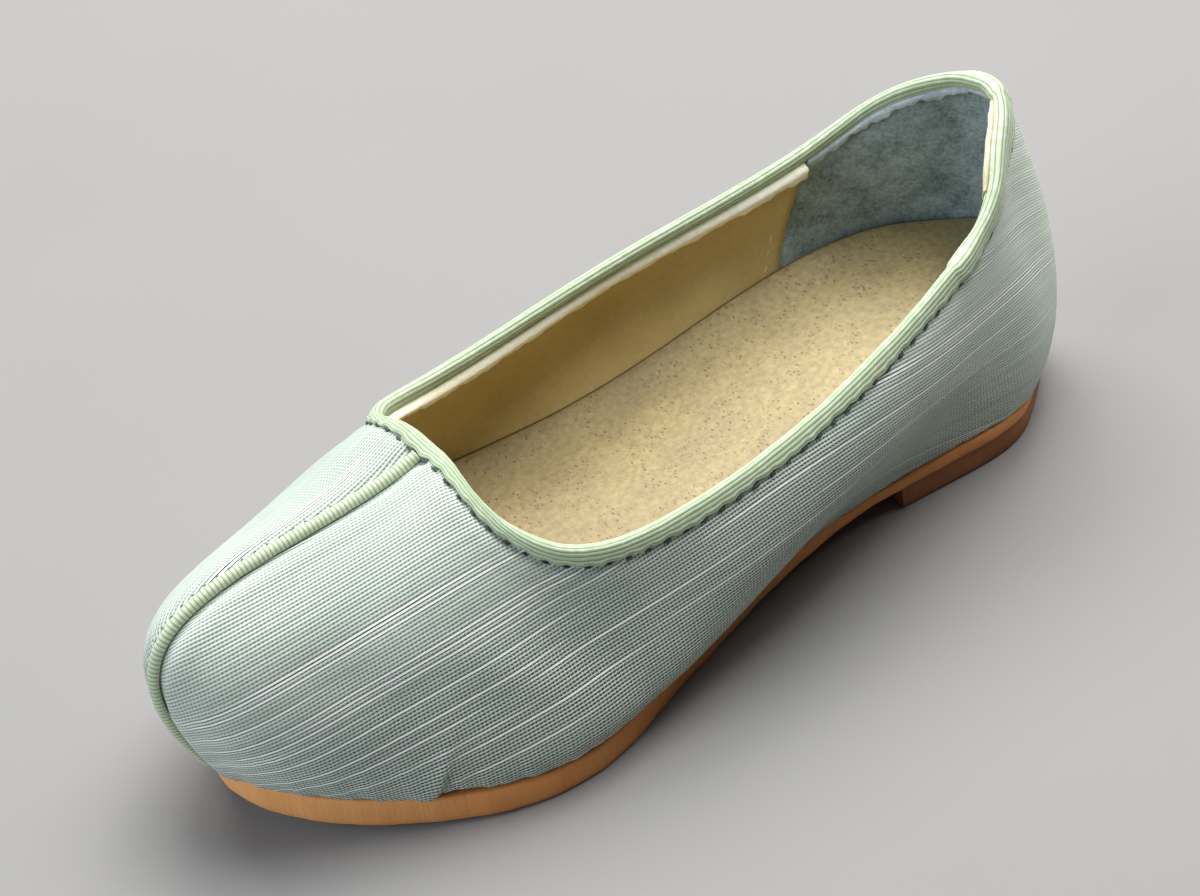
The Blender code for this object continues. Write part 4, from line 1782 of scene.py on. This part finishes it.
@dataclass
class FrontPiping:
    """Cord covered in ribbed tape, let into the centre seam from the sole to the binding."""

    last: Last
    finish: CordCover
    half_width: float = 1.1
    high: float = 1.1
    rib_rise: float = 0.055
    samples: int = 9
    facets: int = 20
    least_girth: float = 0.92
    under: float = -0.15
    foot: float = 0.004
    top_depth: float = 3.0

    def path(self, away: float, distance: float, low: float, depth: float,
             count: int = 240) -> tuple[Array, Array]:
        """Line beside the centre front.

        Args:
            away: distance to the wearer's left of the centre.
            distance: distance out of the wall.
            low: v at the start.
            depth: depth below the collar edge at the end.
            count: points on the line.

        Returns:
            The points and the way out at each of them.
        """
        one = np.ones(1)
        v = np.linspace(low, self.last.v_at_depth(one, one, depth)[0], count)
        u = np.ones_like(v)
        point, up, out = self.last.face_frame(u, v, u)
        left = np.cross(out, up)
        left *= np.sign(left[:1, 1:2])
        return point + away * left + distance * out, out

    def build(self) -> Object:
        """Sweep a half-round cord whose girth swells at each rib.

        Returns:
            The new piece.
        """
        shape = NodeShape("ribbed_cord", {
            "Step": self.finish.rib_pitch * MM / self.samples, "Rib Pitch": self.finish.rib_pitch * MM,
            "Rib Rise": self.rib_rise, "Half Width": self.half_width * MM, "Height": self.high * MM})
        node = shape.node
        line = node("GeometryNodeMeshToCurve", {0: shape.inlet.outputs["Path"]})
        even = node("GeometryNodeResampleCurve",
                    {"Curve": line, "Length": shape.size("Step")}, mode="LENGTH")
        way = node("GeometryNodeInputNamedAttribute", {"Name": OUT}, data_type="FLOAT_VECTOR")
        turned = node("GeometryNodeSetCurveNormal", {"Curve": even, "Normal": way}, mode="FREE")
        run = node("GeometryNodeSplineParameter").outputs["Length"]
        marked = node("GeometryNodeStoreNamedAttribute",
                      {"Geometry": turned, "Name": ALONG, "Value": run},
                      data_type="FLOAT", domain="POINT")
        turn = node("ShaderNodeMath", {0: run, 1: shape.size("Rib Pitch")}, operation="DIVIDE")
        turn = node("ShaderNodeMath", {0: turn, 1: math.pi}, operation="MULTIPLY")
        turn = node("ShaderNodeMath", {0: turn}, operation="SINE")
        turn = node("ShaderNodeMath", {0: turn}, operation="ABSOLUTE")
        girth = node("ShaderNodeMath", {0: turn, 1: shape.size("Rib Rise"), 2: self.least_girth},
                     operation="MULTIPLY_ADD")
        swollen = node("GeometryNodeSetCurveRadius", {"Curve": marked, "Radius": girth})
        ring = node("GeometryNodeCurvePrimitiveCircle",
                    {"Resolution": self.facets, "Radius": 1.0}, mode="RADIUS")
        x, y = node("ShaderNodeSeparateXYZ", {0: node("GeometryNodeInputPosition")}).outputs[:2]
        above = node("ShaderNodeMath", {0: x, 1: self.under}, operation="MAXIMUM")
        rise = node("ShaderNodeMath", {0: above, 1: shape.size("Height")}, operation="MULTIPLY")
        wide = node("ShaderNodeMath", {0: y, 1: shape.size("Half Width")}, operation="MULTIPLY")
        flat = node("ShaderNodeCombineXYZ", {0: rise, 1: wide})
        section = node("GeometryNodeSetPosition", {"Geometry": ring, "Position": flat})
        cord = node("GeometryNodeCurveToMesh",
                    {"Curve": swollen, "Profile Curve": section, "Fill Caps": True})
        shape.finish(cord, self.finish.material())
        piece = add_path("front_piping_cord", *self.path(0.0, 0.0, self.foot, self.top_depth))
        shape.run(piece)
        return settle(piece, Slot.PIPING, "front_piping")


@dataclass
class StitchRow:
    """Row of sewn stitches: short thread beads laid end to end along a seam."""

    name: str
    finish: SpunThread
    slot: Slot
    pitch: float
    length: float
    width: float
    high: float
    shortest: float = 0.82
    longest: float = 1.15
    seed: int = 7
    segments: int = 8
    rings: int = 6

    def build(self, points: Array, out: Array) -> Object:
        """Set stitches along a line.

        Args:
            points: places along the seam, in millimetres.
            out: way out of the cloth at each place.

        Returns:
            The new piece.
        """
        shape = NodeShape(self.name, {"Pitch": self.pitch * MM, "Length": 0.5 * self.length * MM,
                                      "Width": 0.5 * self.width * MM, "Height": 0.5 * self.high * MM})
        node = shape.node
        line = node("GeometryNodeMeshToCurve", {0: shape.inlet.outputs["Path"]})
        even = node("GeometryNodeResampleCurve",
                    {"Curve": line, "Length": shape.size("Pitch")}, mode="LENGTH")
        way = node("GeometryNodeInputNamedAttribute", {"Name": OUT}, data_type="FLOAT_VECTOR")
        along = node("GeometryNodeInputTangent")
        aimed = node("FunctionNodeAlignRotationToVector", {"Vector": along}, axis="X")
        stood = node("FunctionNodeAlignRotationToVector",
                     {"Rotation": aimed, "Vector": way}, axis="Z", pivot_axis="X")
        vary = node("FunctionNodeRandomValue",
                    {2: self.shortest, 3: self.longest, "Seed": self.seed}, data_type="FLOAT")
        longer = node("ShaderNodeMath", {0: shape.size("Length"), 1: vary}, operation="MULTIPLY")
        sizes = node("ShaderNodeCombineXYZ", {0: longer, 1: shape.size("Width"), 2: shape.size("Height")})
        bead = node("GeometryNodeMeshUVSphere",
                    {"Segments": self.segments, "Rings": self.rings, "Radius": 1.0})
        laid = node("GeometryNodeInstanceOnPoints",
                    {"Points": even, "Instance": bead, "Rotation": stood, "Scale": sizes})
        shape.finish(laid, self.finish.material())
        piece = add_path(self.name, points, out)
        shape.run(piece)
        return settle(piece, self.slot)


@dataclass
class Stitching:
    """Every row of stitches that shows on the shoe."""

    last: Last
    dark: SpunThread
    grey: SpunThread
    cream: SpunThread
    below_tape: float = 0.4
    above_cloth: float = 0.1
    behind_seam: float = 0.012

    def collar_row(self) -> Object:
        """Stitches that hold the binding, along its outer lower edge.

        Returns:
            The new piece.
        """
        u, side = self.last.loop(600)
        u, side = np.append(u, 0.0), np.append(side, -1.0)
        v = self.last.v_at_depth(u, side, self.last.tape_depth(u) + self.below_tape)
        point, _, out = self.last.face_frame(u, v, side)
        row = StitchRow("binding_stitches", self.dark, Slot.BINDING,
                        pitch=3.3, length=1.4, width=0.5, high=0.5)
        return row.build(point + self.above_cloth * out, out)

    def piping_row(self, piping: FrontPiping) -> Object:
        """Fine stitches that close the seam beside the piping, on the wearer's right.

        Args:
            piping: piping to sew beside.

        Returns:
            The new piece.
        """
        row = StitchRow("piping_stitches", self.grey, Slot.PIPING,
                        pitch=2.2, length=0.6, width=0.24, high=0.24)
        return row.build(*piping.path(away=-2.15, distance=-0.32, low=0.05, depth=4.6))

    def lining_row(self, linings: Linings, which: Side) -> Object:
        """Stitches along the front seam of the heel lining, on one side.

        Args:
            linings: linings to sew.
            which: side of the shoe.

        Returns:
            The new piece.
        """
        height = np.linspace(0.3, 0.9, 90)
        u = linings.seam_top + linings.seam_lean * (1.0 - height) + self.behind_seam
        side = np.full_like(u, which.value)
        top = self.last.v_at_depth(u, side, linings.top_depth)
        point, _, out = self.last.face_frame(u, height * top, side)
        depth = travelled(point[::-1], 0)[::-1] + linings.top_depth
        inside = point - (self.last.wall_at(depth) + linings.quarter_proud)[:, None] * out
        name = "heel_lining_stitches_" + which.name.split("_")[1].lower()
        row = StitchRow(name, self.cream, Slot.SOCK, pitch=2.6, length=1.7, width=0.4, high=0.3)
        return row.build(inside, -out)

    def build(self, linings: Linings, piping: FrontPiping) -> list[Object]:
        """Sew every row."""
        rows = [self.collar_row(), self.piping_row(piping)]
        return rows + [self.lining_row(linings, which) for which in Side]


@dataclass(frozen=True)
class Lamp:
    """Soft square light: its way from the shoe, power, distance, size and tint."""

    name: str
    way: Place
    power: float
    far: float = 1.3
    size: float = 0.7
    tint: Place = (1.0, 1.0, 1.0)


@dataclass
class Studio:
    """Pale floor, soft light and the camera at the photograph's angle; sizes in metres."""

    floor_finish: PaperFloor
    floor_half: float = 4.0
    target: Place = (0.00292, -0.00261, 0.0258)
    eye: Place = (0.19668, 0.33538, 0.35286)
    roll: float = -9.63
    lens: float = 95.0
    sensor: float = 36.0
    clip: tuple[float, float] = (0.01, 20.0)
    lamps: tuple[Lamp, ...] = (
        Lamp("key", (-0.15, -0.96, 1.3), 10.3),
        Lamp("side", (-0.62, -0.55, 1.25), 10.3),
        Lamp("top", (-0.35, -0.05, 1.0), 12.6, size=0.9),
        Lamp("rear", (-0.5, 0.15, 1.0), 6.0),
        Lamp("fill", (1.0, -0.1, 0.45), 17.8, far=1.6, size=1.4, tint=(0.87, 0.97, 1.09)),
    )
    sky_tint: tuple[float, ...] = (0.94, 0.97, 1.04, 1.0)
    sky: float = 0.048

    def build(self) -> None:
        """Set the floor, the lights and the camera."""
        half = self.floor_half
        mesh = bpy.data.meshes.new("floor")
        mesh.from_pydata([(-half, -half, 0.0), (half, -half, 0.0), (half, half, 0.0), (-half, half, 0.0)],
                         [], [(0, 1, 2, 3)])
        mesh.materials.append(self.floor_finish.material())
        floor = bpy.data.objects.new("floor", mesh)
        bpy.context.scene.collection.objects.link(floor)
        world = bpy.data.worlds.new("studio")
        world.use_nodes = True
        feed(world.node_tree, world.node_tree.nodes["Background"], {0: self.sky_tint, 1: self.sky})
        bpy.context.scene.world = world
        for lamp in self.lamps:
            self.light(lamp)
        self.camera()

    def light(self, lamp: Lamp) -> None:
        """Add a soft square light that looks at the shoe.

        Args:
            lamp: light to hang.
        """
        data = bpy.data.lights.new(lamp.name, "AREA")
        data.size, data.energy, data.color = lamp.size, lamp.power, lamp.tint
        holder = bpy.data.objects.new(lamp.name, data)
        place = Vector(lamp.way).normalized()
        holder.matrix_world = (Matrix.Translation(Vector(self.target) + lamp.far * place)
                               @ place.to_track_quat("Z", "Y").to_matrix().to_4x4())
        bpy.context.scene.collection.objects.link(holder)

    def camera(self) -> None:
        """Aim the camera at the shoe and roll it as the photograph is."""
        eye, target = Vector(self.eye), Vector(self.target)
        look = (target - eye).normalized()
        level = look.cross(Vector((0.0, 0.0, 1.0))).normalized()
        upright = level.cross(look)
        angle = math.radians(self.roll)
        right = level * math.cos(angle) + upright * math.sin(angle)
        above = right.cross(look)
        turn = Matrix((right, above, -look)).transposed().to_4x4()
        view = bpy.data.cameras.new("camera")
        view.lens, view.sensor_width, view.sensor_fit = self.lens, self.sensor, "HORIZONTAL"
        view.clip_start, view.clip_end = self.clip
        holder = bpy.data.objects.new("camera", view)
        holder.matrix_world = Matrix.Translation(eye) @ turn
        bpy.context.scene.collection.objects.link(holder)
        bpy.context.scene.camera = holder


def main() -> None:
    """Build the shoe piece by piece, then the studio."""
    logging.basicConfig(level=logging.INFO, format="%(message)s")
    bpy.context.scene.view_settings.view_transform = "Standard"
    last = Last()
    cloth = SlubCloth("woven_slub_poly_silk", roughness=0.62, sheen=0.25, relief=0.0002)
    tape = RibbedTape("woven_grosgrain_tape", roughness=0.7, sheen=0.3, relief=0.00006)
    cover = CordCover("wrapped_grosgrain_cord", roughness=0.7, sheen=0.3, relief=0.00005)
    quarter = PigGrain("drummed_pigskin_lining", roughness=0.6, relief=0.00008,
                       base="#c6ae74", stain="#bba366", pore_share=1.2, mottle=0.07)
    raw_edge = PigGrain("trimmed_pigskin_edge", roughness=0.85, relief=0.0001,
                        base="#fffbe4", stain="#f3ebc9", pore_share=1.2, mottle=0.08)
    sock = SockGrain("glazed_pigskin_sock", roughness=0.5, relief=0.00008)
    nubuck = Nubuck("buffed_split_nubuck", roughness=0.9, sheen=0.3, relief=0.0001)
    folded = PigGrain("folded_pigskin_lip", roughness=0.7, relief=0.00008,
                      base="#e6dfc2", stain="#d6cca2", pore_share=1.2, mottle=0.1)
    split_edge = Nubuck("cut_split_edge", roughness=0.9, relief=0.0001, dark="#8fa1aa", light="#dbe6ec")
    sole = CutLeather("cut_sole_leather", roughness=0.6, relief=0.00008)
    # The heel block is the sole leather made darker: partly its own browner tone, partly painted shade.
    block = CutLeather("sanded_heel_leather", roughness=0.6, relief=0.00008, base="#ab7340", dark="#8a5630")
    dark = SpunThread("spun_polyester_thread_dark", roughness=0.55, relief=0.00003)
    grey = SpunThread("spun_polyester_thread_grey", roughness=0.55, relief=0.00003,
                      base="#5c6960", light="#8a978c")
    cream = SpunThread("spun_polyester_thread_cream", roughness=0.55, relief=0.00003,
                       base="#c9b98a", light="#e6dcb8")
    ClothUpper(last, cloth).build()
    linings = Linings(last, quarter, nubuck, raw_edge, split_edge, folded)
    linings.build()
    InsoleSock(last, sock).build()
    LeatherSole(last, sole, block).build()
    CollarBinding(last, tape).build()
    piping = FrontPiping(last, cover)
    piping.build()
    Stitching(last, dark, grey, cream).build(linings, piping)
    Studio(PaperFloor("seamless_paper", roughness=0.85, relief=0.00005)).build()


if __name__ == "__main__":
    main()
